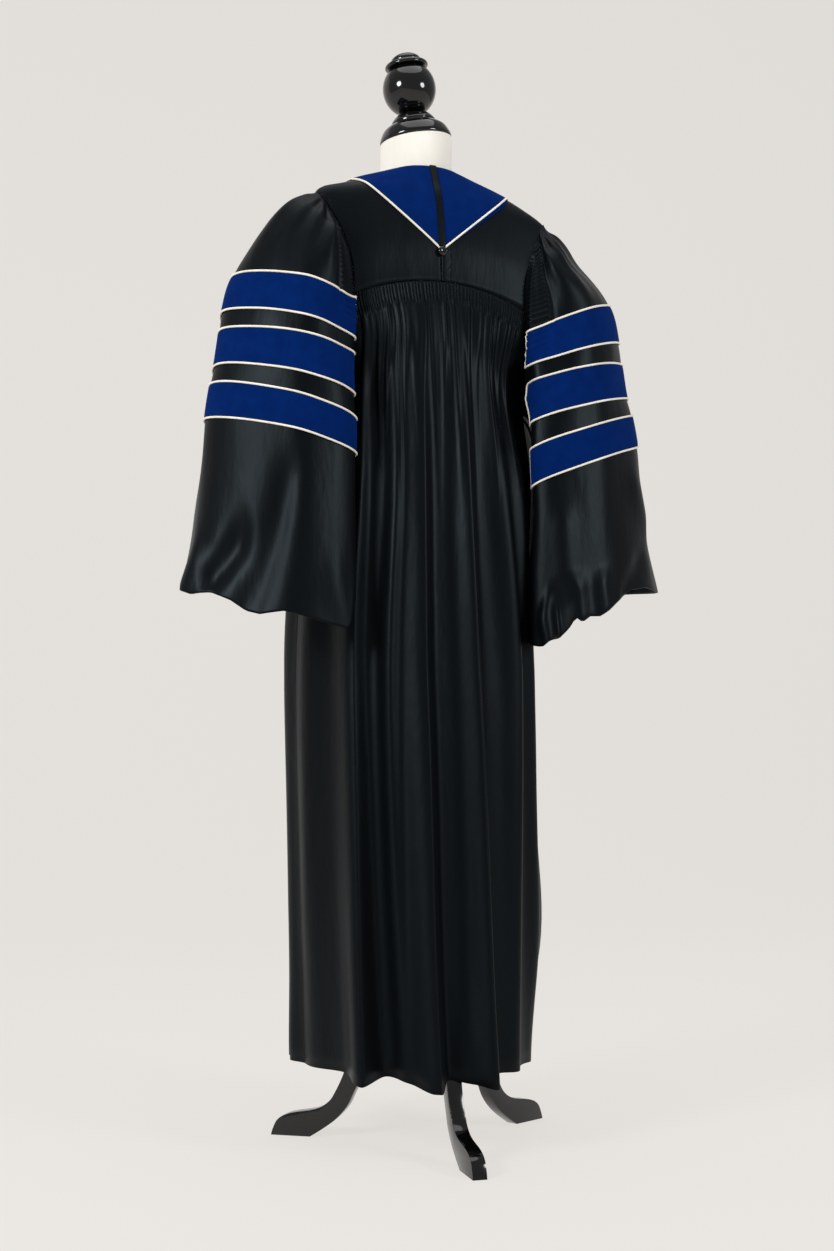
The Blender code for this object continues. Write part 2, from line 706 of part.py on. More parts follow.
def make_front_velvet(velvet, cream):
    """The velvet facings from the shoulder seam down both fronts to the hem, with piping."""

    def place(column, row):
        angle, level = front_place(1 + column, row)
        return trimmed(angle, level, 90, 180)

    steps = len(FRONT_ROWS) - 1
    line = [front_place(1, step / steps) for step in range(steps + 1)]
    line[-1] = (line[-1][0] + 0.6, line[-1][1])
    for side, label in ((1, "left"), (-1, "right")):
        body_wall(f"velvet_front_{label}", place, VELVET_STEPS, steps, velvet, side,
                  SEAM_GAP + VELVET_WALL, VELVET_WALL)
        edge_cord(f"piping_front_{label}", line, cream, side)


def sleeve_turn(share):
    """Keeps half a seam's gap at both edges of a sleeve, where its seam closes."""
    return SLEEVE_SEAM + (1 - 2 * SLEEVE_SEAM) * share


def make_sleeves(cloth, velvet, cream):
    """Each sleeve with its three velvet bars, edged all round in piping."""
    for side, label in ((1, "left"), (-1, "right")):

        def place(column, row):
            return sleeve_turn(column), CUFF_ROW * row

        sleeve_wall(f"sleeve_{label}", place, SLEEVE_STEPS, CUFF_ROW, cloth, side)
        for bar, (first, last, column) in BARS.items():
            low, high = (sleeve_turn(end / SLEEVE_STEPS) for end in (column, SLEEVE_STEPS - column))
            make_bar(f"{bar}_{label}", first, last, low, high, velvet, cream, side)


def make_bar(name, first, last, low, high, velvet, cream, side):
    """One velvet bar on a sleeve and the cord round it."""
    columns = round((high - low) * SLEEVE_STEPS)

    def place(column, row):
        return low + (high - low) * column, first + (last - first) * row

    lift = SEAM_GAP + VELVET_WALL
    sleeve_wall(f"bar_{name}", place, columns, last - first, velvet, side, lift, VELVET_WALL)
    clear = CORD_RADIUS + 1.5 * SEAM_GAP
    rows = last - first
    outline = [(column / columns, 0) for column in range(columns + 1)]
    outline += [(1, row / rows) for row in range(1, rows)]
    outline += [(1 - column / columns, 1) for column in range(columns + 1)]
    outline += [(0, 1 - row / rows) for row in range(1, rows)]
    points = []
    for column, row in outline:
        u, level = place(column, row)
        to_left = sleeve(u + 0.004, level) - sleeve(u - 0.004, level)
        down = sleeve(u, level + 0.05) - sleeve(u, level - 0.05)
        spread = clear / (to_left.normalized().cross(down.normalized()).length)
        if row in (0, 1):
            level += 0.1 * spread / down.length * (1 if row else -1)
        if column in (0, 1):
            u += 0.008 * spread / to_left.length * (1 if column else -1)
        points.append(on_sleeve(u, level, side, clear + 2 * SEAM_GAP))
    cord(f"piping_bar_{name}", points, cream, closed=True)


def make_strap(cloth, lacquer):
    """The strap from the neckline down to the button at the velvet's point."""
    half = STRAP_WIDTH / 2
    velvet_top = SEAM_GAP + VELVET_WALL
    ends = (velvet_edge(0.0)[1] + 0.13, NECK_LEVEL)

    def spot(column, row):
        level = ends[0] + (ends[1] - ends[0]) * row
        x = half * (2 * column - 1)
        return math.copysign(angle_at(abs(x), level), x), level

    def point(column, row):
        return body(*spot(column, row))

    def normal(column, row):
        return body_normal(*spot(column, row))

    wall("strap", point, normal, 2, 12, cloth, velvet_top + 2 * SEAM_GAP + STRAP_WALL, STRAP_WALL)
    level = velvet_edge(0.0)[1] - 0.02
    out = body_normal(0.0, level)
    base = body(0.0, level) + out * BUTTON_LIFT
    bm = bmesh.new()
    bmesh.ops.create_cone(bm, cap_ends=True, segments=16, radius1=BUTTON_RADIUS,
                          radius2=BUTTON_RADIUS * 0.8, depth=BUTTON_THICK)
    turn = out.to_track_quat("Z", "Y").to_matrix().to_4x4()
    bmesh.ops.transform(bm, matrix=Matrix.Translation(base) @ turn, verts=bm.verts[:])
    add_mesh("button", bm, lacquer)


def make_form(linen, lacquer):
    """The smooth torso and neck, the turned cap and finial."""
    rings = []
    for height, half_width, half_depth, middle in FORM_SECTIONS:
        ring = []
        for step in range(FORM_STEPS):
            turn = 2 * math.pi * step / FORM_STEPS
            x = half_width * math.cos(turn)
            drop = x * math.tan(LEAN) * smooth(NECK_FOOT, RIM_HEIGHT, height)
            ring.append(Vector((x, middle + half_depth * math.sin(turn), height - drop)))
        rings.append(ring)
    bm = bmesh.new()
    loft(bm, rings)
    add_mesh("form_torso", bm, linen, 50)

    place = Matrix.Translation((*NECK_CENTRE, RIM_HEIGHT))
    place = place @ Matrix.Rotation(LEAN, 4, "Y")
    turned("cap", CAP_PROFILE, lacquer, place)
    ball = [(BALL_RADIUS * math.sin(t), BALL_MIDDLE - BALL_RADIUS * math.cos(t))
            for t in (math.pi * step / 14 for step in range(15))]
    low, high = CAP_PROFILE[-1][1] + SEAM_GAP, KNOB_PROFILE[0][1] - SEAM_GAP
    inside = [(radius, height) for radius, height in ball if low < height < high]
    reach = [math.sqrt(BALL_RADIUS**2 - (height - BALL_MIDDLE) ** 2) for height in (low, high)]
    ball = [(0.0, low), (reach[0], low), *inside, (reach[1], high), (0.0, high)]
    turned("ball", ball, lacquer, place)
    turned("knob", KNOB_PROFILE, lacquer, place)


def make_stand(lacquer):
    """The pole, the hub and three plank legs."""
    pole = ((0, HUB_TOP + SEAM_GAP), (POLE_RADIUS, HUB_TOP + SEAM_GAP),
            (POLE_RADIUS, FORM_BOTTOM - SEAM_GAP), (0, FORM_BOTTOM - SEAM_GAP))
    turned("pole", pole, lacquer, Matrix.Identity(4))
    hub = ((0, HUB_BOTTOM), (HUB_RADIUS - HUB_EDGE, HUB_BOTTOM),
           (HUB_RADIUS, HUB_BOTTOM + HUB_EDGE), (HUB_RADIUS, HUB_TOP - HUB_EDGE),
           (HUB_RADIUS - HUB_EDGE, HUB_TOP), (0, HUB_TOP))
    turned("hub", hub, lacquer, Matrix.Identity(4))
    for name, heading in LEG_HEADINGS.items():
        bm = bmesh.new()
        side = bm.faces.new([bm.verts.new((distance, -LEG_THICK / 2, height))
                             for distance, height in LEG_OUTLINE])
        moved = bmesh.ops.extrude_face_region(bm, geom=[side], use_keep_orig=True)["geom"]
        bmesh.ops.translate(bm, vec=(0, LEG_THICK, 0),
                            verts=[item for item in moved if isinstance(item, bmesh.types.BMVert)])
        bmesh.ops.recalc_face_normals(bm, faces=bm.faces[:])
        rims = [edge for edge in bm.edges
                if abs(edge.verts[0].co.y - edge.verts[1].co.y) < 1e-6
                and min(vert.co.x for vert in edge.verts) > 0.03
                and max(vert.co.z for vert in edge.verts) > 0.001]
        bmesh.ops.bevel(bm, geom=rims, offset=LEG_EDGE, offset_type="OFFSET", segments=1,
                        profile=0.5, affect="EDGES", material=-1)
        # The leg's own x axis turns to its heading, counted from +Y towards +X
        turn = Matrix.Rotation(math.radians(90 - heading), 4, "Z")
        bmesh.ops.transform(bm, matrix=turn, verts=bm.verts[:])
        add_mesh(f"leg_{name}", bm, lacquer, 30)


def main():
    for thing in list(bpy.data.objects):
        bpy.data.objects.remove(thing, do_unlink=True)
    cloth = finish("black cloth", BLACK_CLOTH)
    velvet = finish("blue velvet", BLUE_VELVET)
    cream = finish("cream cord", CREAM_CORD)
    linen = finish("cream linen", CREAM_LINEN)
    lacquer = finish("black lacquer", BLACK_LACQUER)
    make_yoke(cloth)
    make_back(cloth)
    make_fronts(cloth)
    make_neck_velvet(velvet, cream)
    make_front_velvet(velvet, cream)
    make_sleeves(cloth, velvet, cream)
    make_strap(cloth, lacquer)
    make_form(linen, lacquer)
    make_stand(lacquer)


main()
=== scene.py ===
# %% [markdown]
# # A doctoral gown on a dress form
#
# The real thing is a black gown with a gathered back, bell sleeves, blue velvet trim and cream
# piping. It hangs on a limbless cream form with a turned black cap and a black tripod. This
# lesson lays every cut piece of cloth as a fine grid over one of two smooth surfaces, the gown's
# body and its sleeve, and turns the hard pieces from profiles.

import math

import bmesh
import bpy
import numpy as np
from mathutils import Matrix, Vector


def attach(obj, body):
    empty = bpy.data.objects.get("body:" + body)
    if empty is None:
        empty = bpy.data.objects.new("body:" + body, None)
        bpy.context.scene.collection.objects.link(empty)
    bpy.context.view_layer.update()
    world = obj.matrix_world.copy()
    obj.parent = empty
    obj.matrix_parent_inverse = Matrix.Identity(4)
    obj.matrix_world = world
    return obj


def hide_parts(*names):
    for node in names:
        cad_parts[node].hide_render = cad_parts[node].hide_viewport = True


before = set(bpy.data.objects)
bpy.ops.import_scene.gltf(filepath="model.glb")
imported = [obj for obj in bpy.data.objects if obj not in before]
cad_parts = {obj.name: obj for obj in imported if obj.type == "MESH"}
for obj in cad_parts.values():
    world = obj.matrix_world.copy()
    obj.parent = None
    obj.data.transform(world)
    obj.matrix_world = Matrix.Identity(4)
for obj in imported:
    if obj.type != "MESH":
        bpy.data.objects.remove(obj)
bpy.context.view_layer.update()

# %% [markdown]
# ## Curves through a few measured sections
#
# A gown has few hard sizes: rings round the body, rows round a sleeve. Between them the cloth runs
# in smooth curves. A Catmull-Rom curve passes through every section and needs no handles, so short
# tables are enough. All helpers take whole arrays, which keeps tens of thousands of points quick.


# %% Smooth curves and steps
def smooth(low, high, value):
    """0 below low, 1 above high, and an easy curve between them. low may be the larger."""
    share = np.clip((value - low) / (high - low), 0.0, 1.0)
    return share * share * (3 - 2 * share)


def bump(value, middle, below, above=None):
    """A soft hill of height 1, with its own width on each side."""
    away = value - middle
    width = np.where(away < 0, below, below if above is None else above)
    return np.exp(-((away / width) ** 2))


def through(before, start, end, after, share):
    """The Catmull-Rom curve from start to end."""
    return (
        start
        + (end - before) * (0.5 * share)
        + (before * 2 - start * 5 + end * 4 - after) * (0.5 * share**2)
        + (start * 3 - before - end * 3 + after) * (0.5 * share**3)
    )


def along(values, place):
    """The smooth curve through a list of numbers, at places counted in its steps."""
    values = np.asarray(values, float)
    last = len(values) - 1
    first = np.clip(np.asarray(place).astype(int), 0, last - 1)
    start, end = values[first], values[first + 1]
    before = np.where(first > 0, values[np.maximum(first - 1, 0)], 2 * start - end)
    after = np.where(first + 2 <= last, values[np.minimum(first + 2, last)], 2 * end - start)
    return through(before, start, end, after, place - first)


def spaced(values, share):
    """Reads a list at a share of its length, with straight lines between its values."""
    return np.interp(share, np.linspace(0, 1, len(values)), values)


print("half way through 0, 1, 4:", along([0, 1, 4], np.array([1.5])))

# %% [markdown]
# ## The gown's body
#
# Each row of the table is one level ring, from the hem up to the neckline: heights at centre back,
# side and centre front, half the width, how far the ring reaches back and front, and how square it
# is. Angle 0 is centre back, 90 the left side and 180 centre front.

# %% The body's rings
RING_COLUMNS = (
    "z_back", "z_side", "z_front", "half_width", "y_back", "y_side", "y_front", "square",
)
RINGS = (
    (0.098, 0.114, 0.104, 0.163, 0.120, -0.062, -0.232, 2.1),
    (0.370, 0.370, 0.370, 0.172, 0.097, -0.064, -0.228, 2.1),
    (0.680, 0.680, 0.680, 0.174, 0.082, -0.066, -0.220, 2.2),
    (0.930, 0.930, 0.930, 0.160, 0.074, -0.055, -0.202, 2.3),
    (1.130, 1.085, 1.110, 0.150, 0.062, -0.035, -0.178, 1.7),
    (1.231, 1.181, 1.200, 0.172, 0.046, -0.015, -0.160, 4.5),
    (1.290, 1.262, 1.258, 0.178, 0.043, -0.003, -0.146, 4.0),
    (1.350, 1.337, 1.300, 0.177, 0.031, 0.012, -0.134, 3.0),
    (1.380, 1.374, 1.315, 0.122, 0.018, -0.016, -0.128, 2.6),
    (1.405, 1.395, 1.330, 0.066, 0.007, -0.036, -0.124, 2.2),
)
RING = {name: [row[i] for row in RINGS] for i, name in enumerate(RING_COLUMNS)}
HIPS, UNDERARM, YOKE_SEAM, TIP, COLLAR, NECK = 2.0, 4.0, 5.0, 7.0, 8.0, 9.0
print(len(RINGS), "rings from the hem up to the neckline")

# %% [markdown]
# ## Folds that fall from a gathered seam
#
# Gathered cloth does three things one below the other. Right under the seam it is finely fluted.
# The flutes open into a dozen uneven gathers, and by the hips those have merged into a few broad
# folds that reach the hem. Some folds lean, so each hill has its own width on either side. Angles
# are in degrees and depths in metres; a billow's place and height are an angle and a level.

# %% Broad folds, gathers and fluting
FOLD_COLUMNS = ("yoke", "hip", "hem", "right", "left", "hip_depth", "hem_depth")
BACK_FOLDS = (
    (76, 80, 82, 9, 9, 0.006, 0.006),
    (46, 46, 42.5, 3.2, 10, 0.019, 0.040),
    (29, 29, 28, 4.0, 4.5, 0.015, 0.005),
    (13, 14, 12, 3.4, 11, 0.021, 0.043),
    (-8, -10.7, -13, 3.6, 6, 0.021, 0.036),
    (-24, -36, -34, 5, 8, 0.018, 0.010),
    (-42, -54, -57, 5, 7, 0.014, 0.008),
    (-66, -76, -79, 8, 8, 0.006, 0.011),
)
FRONT_FOLDS = (
    (100, 101, 100, 7, 7, 0.008, 0.014),
    (112, 114, 117, 6, 5, 0.009, 0.018),
    (124, 126, 129, 5, 6, 0.007, 0.012),
    (134, 136, 138, 5, 5, 0.006, 0.009),
)
BILLOW_COLUMNS = ("angle", "level", "wide", "tall", "height")
BILLOWS = (
    (-74, 0.80, 20, 0.42, 0.011),
    (-74, 2.20, 18, 0.60, -0.009),
    (-82, 3.50, 16, 0.70, 0.014),
    (-80, 0.00, 18, 0.35, -0.022),
    (-3, 0.00, 7, 0.35, 0.014),
    (106, 2.30, 22, 0.70, 0.011),
    (106, 1.00, 22, 0.90, 0.003),
    (106, 0.00, 22, 0.40, 0.006),
)
GATHER_REACH, GATHER_PITCH, GATHER_DEPTH = 52.0, 6.3, 0.0046
GATHERS_FULL, GATHERS_END, GATHERS_END_WAVER = 4.3, 3.2, 0.6
FLUTE_PITCH, FLUTE_DEPTH, FLUTES_FULL, FLUTES_END = 1.75, 0.0010, 0.30, 0.46
HEM_LIFT, HEM_FOLD, HEM_TUCK_LEVEL = 0.014, 0.040, 0.8
FOLD_WAVER, FOLD_WAVER_RATE = 0.7, 2.1
FOLD_FADE, FOLD_FULL = 4.7, 2.3


def broad_folds(folds, angle, level):
    """How far the broad folds stand out, each wandering a little on its way from yoke to hem."""
    total = np.zeros_like(angle)
    upper = level > HIPS
    share = np.where(upper, (level - HIPS) / (YOKE_SEAM - HIPS), (HIPS - level) / HIPS)
    for row in folds:
        fold = dict(zip(FOLD_COLUMNS, row))
        end = np.where(upper, fold["yoke"], fold["hem"])
        middle = fold["hip"] + (end - fold["hip"]) * share
        middle = middle + FOLD_WAVER * np.sin(level * FOLD_WAVER_RATE + fold["hip"])
        falling = fold["hip_depth"] + (fold["hem_depth"] - fold["hip_depth"]) * share
        rising = fold["hip_depth"] * smooth(FOLD_FADE, FOLD_FULL, level)
        total = total + np.where(upper, rising, falling) * bump(
            angle, middle, fold["right"], fold["left"])
    return total


def gathers(angle, level):
    """The gathers, uneven in width and height, each ending at a level of its own."""
    warped = angle + 1.3 * np.sin(angle * 0.21) + 0.9 * np.sin(angle * 0.47 + 1)
    wave = 0.5 + 0.5 * np.cos(2 * math.pi * warped / GATHER_PITCH)
    uneven = 0.7 + 0.3 * np.sin(angle * 0.83 + 0.6)
    lower_end = GATHERS_END + GATHERS_END_WAVER * np.sin(angle * 0.61 + 2)
    fall = smooth(lower_end, GATHERS_FULL, level)
    fall = fall * smooth(YOKE_SEAM - 0.24, YOKE_SEAM - 0.42, level)
    return GATHER_DEPTH * wave * uneven * fall * smooth(GATHER_REACH, GATHER_REACH - 6, abs(angle))


def flutes(angle, level):
    """The stitched-down fluting right under the seam."""
    warped = angle + 0.25 * np.sin(angle * 0.9)
    wave = np.cos(2 * math.pi * warped / FLUTE_PITCH)
    near = smooth(YOKE_SEAM - FLUTES_END, YOKE_SEAM - FLUTES_FULL, level)
    near = near * smooth(YOKE_SEAM, YOKE_SEAM - 0.03, level)
    return FLUTE_DEPTH * wave * near * smooth(GATHER_REACH, GATHER_REACH - 3, abs(angle))


def billows(angle, level):
    """Where the cloth swings out or in at one side only."""
    total = np.zeros_like(angle)
    for row in BILLOWS:
        billow = dict(zip(BILLOW_COLUMNS, row))
        near = bump(angle, billow["angle"], billow["wide"])
        total = total + billow["height"] * near * bump(level, billow["level"], billow["tall"])
    return total


def back_height(angle, level):
    """Everything that stands out on the back panel."""
    return broad_folds(BACK_FOLDS, angle, level) + gathers(angle, level) + flutes(angle, level)


print("a fold stands", back_height(np.array([14.0]), np.array([HIPS])), "m out at the hip")

# %% [markdown]
# ## From angle and level to a point
#
# One function turns an angle and a level into a point of the cloth. A second one gives the outward
# direction, read from two short steps along the surface, so that velvet, piping and strap can lie
# a hair above whatever fold is below them.


# %% The body's surface
SHOULDER_TILT, SHOULDER_EASE = 0.041, 0.002


def body(angle, level):
    """The point of the gown's body at this angle and level."""
    side = np.where(angle < 0, -1.0, 1.0)
    turn = np.abs(angle)
    back = turn <= 90
    half, square, y_side, z_side = (
        along(RING[name], level) for name in ("half_width", "square", "y_side", "z_side"))
    y_middle = np.where(back, along(RING["y_back"], level), along(RING["y_front"], level))
    z_middle = np.where(back, along(RING["z_back"], level), along(RING["z_front"], level))
    reach = np.clip(np.sin(np.radians(turn)), 1e-9, 1.0)
    depth = np.maximum(1 - reach**square, 0.0) ** (1 / square)
    out_x = side * reach ** (square - 1) / half
    out_y = depth ** (square - 1) / (y_middle - y_side)
    size = np.hypot(out_x, out_y)
    height = np.where(
        back, back_height(angle, level), broad_folds(FRONT_FOLDS, turn, level))
    height = height + billows(angle, level)
    tilt = SHOULDER_TILT * smooth(5.2, 6.8, level) * smooth(8.0, 7.1, level)
    tucked = HEM_LIFT * smooth(HEM_TUCK_LEVEL, 0, level) * back
    tucked = tucked * (1 - np.clip(height / HEM_FOLD, 0, 1))
    return np.stack([
        reach * half * side + out_x / size * height,
        y_side + (y_middle - y_side) * depth + out_y / size * height,
        z_middle + (z_side - z_middle) * reach**2 + tucked * (1 - reach**4)
        + tilt * side * reach * half - SHOULDER_EASE * bump(level, 7.5, 0.3) * reach**4,
    ], axis=-1)


def unit(vectors):
    return vectors / np.maximum(np.linalg.norm(vectors, axis=-1, keepdims=True), 1e-12)


def body_out(angle, level, turn_step=0.05, level_step=0.006):
    """The outward direction of the body there."""
    angle = np.where(angle < 0, -1, 1) * np.clip(np.abs(angle), 0, 180 - turn_step)
    level = np.clip(level, level_step, NECK - level_step)
    across = body(angle + turn_step, level) - body(angle - turn_step, level)
    up = body(angle, level + level_step) - body(angle, level - level_step)
    return unit(np.cross(up, across))


def angle_at(x, level, front=False):
    """The angle at which the ring reaches this x."""
    angle = np.degrees(np.arcsin(np.clip(x / along(RING["half_width"], level), 0, 1)))
    return 180 - angle if front else angle


print("centre back at the hips:", body(np.array([0.0]), np.array([HIPS])))

# %% [markdown]
# ## Where the panels end
#
# The armhole is an arc cut out of the body between the underarm and the shoulder's tip. Above it
# runs the shoulder seam, below it the side seam. Every panel asks this one function for its edge,
# so neighbouring pieces always meet.

# %% Armhole and panel edges
ARMHOLE_UNDER, ARMHOLE_TIP, ARMHOLE_SCOOP = 0.150, 0.177, 0.032
SEAM_GAP = 0.0003


def armhole_angle(share, front=False):
    """The armhole's angle at a share of its height, 0 under the arm and 1 at the shoulder."""
    x = ARMHOLE_UNDER + (ARMHOLE_TIP - ARMHOLE_UNDER) * share
    x = x - ARMHOLE_SCOOP * 4 * share * (1 - share)
    return angle_at(x, UNDERARM + (TIP - UNDERARM) * share, front)


def armhole(share, front=False):
    """A point of the armhole's edge."""
    angle = armhole_angle(share, front)
    return body(angle, UNDERARM + (TIP - UNDERARM) * np.asarray(share, float))


def panel_edge(level, front=False):
    """Where a panel ends at this level: at the armhole, or at the side or shoulder seam."""
    share = np.clip((level - UNDERARM) / (TIP - UNDERARM), 0, 1)
    inside = (level > UNDERARM) & (level < TIP)
    return np.where(inside, armhole_angle(share, front), 90.0)


def seam_angle(level):
    """Half of the gap at a seam, as an angle."""
    return np.degrees(SEAM_GAP / 2 / along(RING["half_width"], level))


print("the armhole is", 2 * float(armhole(np.array([0.5]))[0, 0]), "m across the back")

# %% [markdown]
# ## Laying a cut piece
#
# Each piece starts as a flat grid. Its points are laid on the surface, and a Solidify modifier
# gives the wall inwards. The grid's own columns and rows stay as the UV map, in metres, so the
# weave runs with the cloth and not with the room.


# %% Cloth pieces and tubes
CLOTH_WALL, TUBE_SIDES = 0.0012, 3


def in_scene(name, mesh):
    """An object for a mesh, linked to the scene."""
    made = bpy.data.objects.new(name, mesh)
    bpy.context.scene.collection.objects.link(made)
    return made


def cloth_piece(name, columns, rows, place, surface, outward, finish, lift=0.0, wall=CLOTH_WALL,
                size=(1.0, 1.0), depth=None):
    """A walled piece of cloth. place turns columns and rows, from 0 to 1, into surface places."""
    bm = bmesh.new()
    bmesh.ops.create_grid(bm, x_segments=columns, y_segments=rows, size=0.5)
    mesh = bpy.data.meshes.new(name)
    bm.to_mesh(mesh)
    bm.free()
    flat = np.empty(len(mesh.vertices) * 3, np.float32)
    mesh.vertices.foreach_get("co", flat)
    grid = flat.reshape(-1, 3)[:, :2].astype(float) + 0.5
    first, second = place(grid[:, 0], grid[:, 1])
    out = outward(first, second)
    height = lift if depth is None else lift + depth(grid[:, 0], grid[:, 1], first, second)
    points = surface(first, second) + out * np.reshape(height, (-1, 1))
    mesh.vertices.foreach_set("co", points.astype(np.float32).ravel())
    corners = np.empty(len(mesh.loops), np.int32)
    mesh.loops.foreach_get("vertex_index", corners)
    mesh.uv_layers.new(name="cut").data.foreach_set(
        "uv", (grid[corners] * np.array(size)).astype(np.float32).ravel())
    mesh.update()
    middle = mesh.polygons[len(mesh.polygons) // 2 + columns // 3]
    if middle.normal.dot(Vector(out[middle.vertices[0]])) < 0:
        mesh.flip_normals()
    mesh.shade_smooth()
    mesh.materials.append(finish)
    made = in_scene(name, mesh)
    thicken = made.modifiers.new("wall", "SOLIDIFY")
    thicken.thickness = wall
    thicken.offset = -1
    return made


def tube(name, points, radius, finish, closed=False):
    """Round piping through points, made a mesh."""
    curve = bpy.data.curves.new(name, "CURVE")
    curve.dimensions = "3D"
    curve.bevel_depth = radius
    curve.bevel_resolution = TUBE_SIDES
    curve.use_fill_caps = True
    line = curve.splines.new("POLY")
    line.points.add(len(points) - 1)
    line.points.foreach_set("co", np.c_[points, np.ones(len(points))].ravel())
    line.use_cyclic_u = closed
    source = bpy.data.objects.new(name + "_line", curve)
    mesh = bpy.data.meshes.new_from_object(source)
    bpy.data.objects.remove(source)
    bpy.data.curves.remove(curve)
    mesh.name = name
    mesh.shade_smooth()
    mesh.materials.clear()
    mesh.materials.append(finish)
    return in_scene(name, mesh)


def hard_piece(bm, name, finish, sharp=None, where=None):
    """An edited mesh as an object, smooth apart from edges sharper than an angle in degrees."""
    bmesh.ops.recalc_face_normals(bm, faces=bm.faces[:])
    if where is not None:
        bmesh.ops.transform(bm, matrix=where, verts=bm.verts[:])
    mesh = bpy.data.meshes.new(name)
    bm.to_mesh(mesh)
    bm.free()
    mesh.shade_smooth()
    if sharp is not None:
        mesh.set_sharp_from_angle(angle=math.radians(sharp))
    mesh.materials.append(finish)
    return in_scene(name, mesh)


def keep(piece, slot, *nodes):
    """The piece is part of the whole, in the place of the solids it stands for."""
    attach(piece, "root")
    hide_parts(*nodes)
    return piece


print("cloth walls are", CLOTH_WALL, "m thick")

# %% [markdown]
# ## Finishes
#
# Threads and cloudy wear are small effects that several finishes share, so each is a node group
# with named sockets. The group only gives masks and heights. The shader, with its sheen and
# roughness, stays in the material.


# %% Helpers for node groups and materials
def node_group(name, inputs, outputs):
    """A shader group with named sockets, and its input and output nodes."""
    group = bpy.data.node_groups.new(name, "ShaderNodeTree")
    for label, kind, value in inputs:
        socket = group.interface.new_socket(label, in_out="INPUT", socket_type=kind)
        if value is not None:
            socket.default_value = value
    for label, kind in outputs:
        group.interface.new_socket(label, in_out="OUTPUT", socket_type=kind)
    return group, group.nodes.new("NodeGroupInput"), group.nodes.new("NodeGroupOutput")


def add_node(tree, kind, links=None, **settings):
    """A node with its settings, and its inputs linked or set by name or number."""
    node = tree.nodes.new(kind)
    for key, value in settings.items():
        setattr(node, key, value)
    for key, value in (links or {}).items():
        if isinstance(value, bpy.types.NodeSocket):
            tree.links.new(value, node.inputs[key])
        else:
            node.inputs[key].default_value = value
    return node


def maths(tree, operation, first, second):
    """The output of one step of arithmetic."""
    return add_node(tree, "ShaderNodeMath", {0: first, 1: second}, operation=operation).outputs[0]


FLOAT, VECTOR = "NodeSocketFloat", "NodeSocketVector"

# %% [markdown]
# The weave is two crossed waves, with a slow unevenness for the slubs in the thread. At about one
# wave to the millimetre it is felt more than seen: it breaks the highlights a little, as
# satin-faced gown cloth does. A sine turns once in 6.28 radians, so 5200 radians to the metre is
# a wave every 1.2 mm.

# %% The weave, shared by gown cloth and linen
weave, weave_in, weave_out = node_group(
    "weave", [("Vector", VECTOR, None), ("Radians per metre", FLOAT, 1800.0),
              ("Slub", FLOAT, 0.3)],
    [("Height", FLOAT)])
spread = add_node(weave, "ShaderNodeVectorMath", {0: weave_in.outputs["Vector"]},
                  operation="SCALE")
weave.links.new(weave_in.outputs["Radians per metre"], spread.inputs["Scale"])
axes = add_node(weave, "ShaderNodeSeparateXYZ", {0: spread.outputs[0]})
warp = maths(weave, "SINE", axes.outputs[0], 0.0)
weft = maths(weave, "SINE", axes.outputs[1], 0.0)
slub = add_node(weave, "ShaderNodeTexNoise",
                {"Vector": weave_in.outputs["Vector"], "Scale": 60.0, "Detail": 3.0})
crossed = maths(weave, "MULTIPLY", warp, weft)
uneven = maths(weave, "MULTIPLY", slub.outputs[0], weave_in.outputs["Slub"])
weave.links.new(maths(weave, "ADD", crossed, uneven), weave_out.inputs["Height"])

# %% [markdown]
# Handling leaves broad, soft, cloudy differences on cloth and lacquer alike: a crush in the pile,
# a little dust, a duller patch. One group gives them as a mask between two limits.

# %% Soft cloudy wear, shared by every finish
clouds, clouds_in, clouds_out = node_group(
    "soft clouds", [("Vector", VECTOR, None), ("Scale", FLOAT, 6.0), ("Stretch", FLOAT, 1.0),
                    ("Low", FLOAT, 0.0), ("High", FLOAT, 1.0)],
    [("Mask", FLOAT)])
axes = add_node(clouds, "ShaderNodeSeparateXYZ", {0: clouds_in.outputs["Vector"]})
tall = maths(clouds, "MULTIPLY", axes.outputs[2], clouds_in.outputs["Stretch"])
joined = add_node(clouds, "ShaderNodeCombineXYZ",
                  {0: axes.outputs[0], 1: axes.outputs[1], 2: tall})
cloud = add_node(clouds, "ShaderNodeTexNoise",
                 {"Vector": joined.outputs[0], "Scale": clouds_in.outputs["Scale"],
                  "Detail": 4.0, "Roughness": 0.55})
fit = add_node(clouds, "ShaderNodeMapRange",
               {"Value": cloud.outputs[0], "From Min": 0.3, "From Max": 0.7,
                "To Min": clouds_in.outputs["Low"], "To Max": clouds_in.outputs["High"]})
clouds.links.new(fit.outputs[0], clouds_out.inputs["Mask"])


def material(name, colour, roughness, **sockets):
    """A Principled material with its plain values set on the shader itself."""
    made = bpy.data.materials.new(name)
    made.use_nodes = True
    tree = made.node_tree
    shader = tree.nodes["Principled BSDF"]
    shader.inputs["Base Color"].default_value = (*colour, 1)
    shader.inputs["Roughness"].default_value = roughness
    for key, value in sockets.items():
        shader.inputs[key.replace("_", " ")].default_value = value
    made.diffuse_color = (*colour, 1)
    return made, tree, shader


def effect(tree, group, links):
    """A shared effect placed in a material."""
    return add_node(tree, "ShaderNodeGroup", links, node_tree=group)


def colour_mix(tree, mask, dark, light):
    """A colour between two, by a mask."""
    node = add_node(tree, "ShaderNodeMix", data_type="RGBA")
    tree.links.new(mask, node.inputs[0])
    node.inputs[6].default_value = (*dark, 1)
    node.inputs[7].default_value = (*light, 1)
    return node.outputs[2]


def bumped(tree, shader, height, distance, strength):
    """The height, seen as a slight unevenness of the surface."""
    made = add_node(tree, "ShaderNodeBump",
                    {"Height": height, "Distance": distance, "Strength": strength})
    tree.links.new(made.outputs[0], shader.inputs["Normal"])


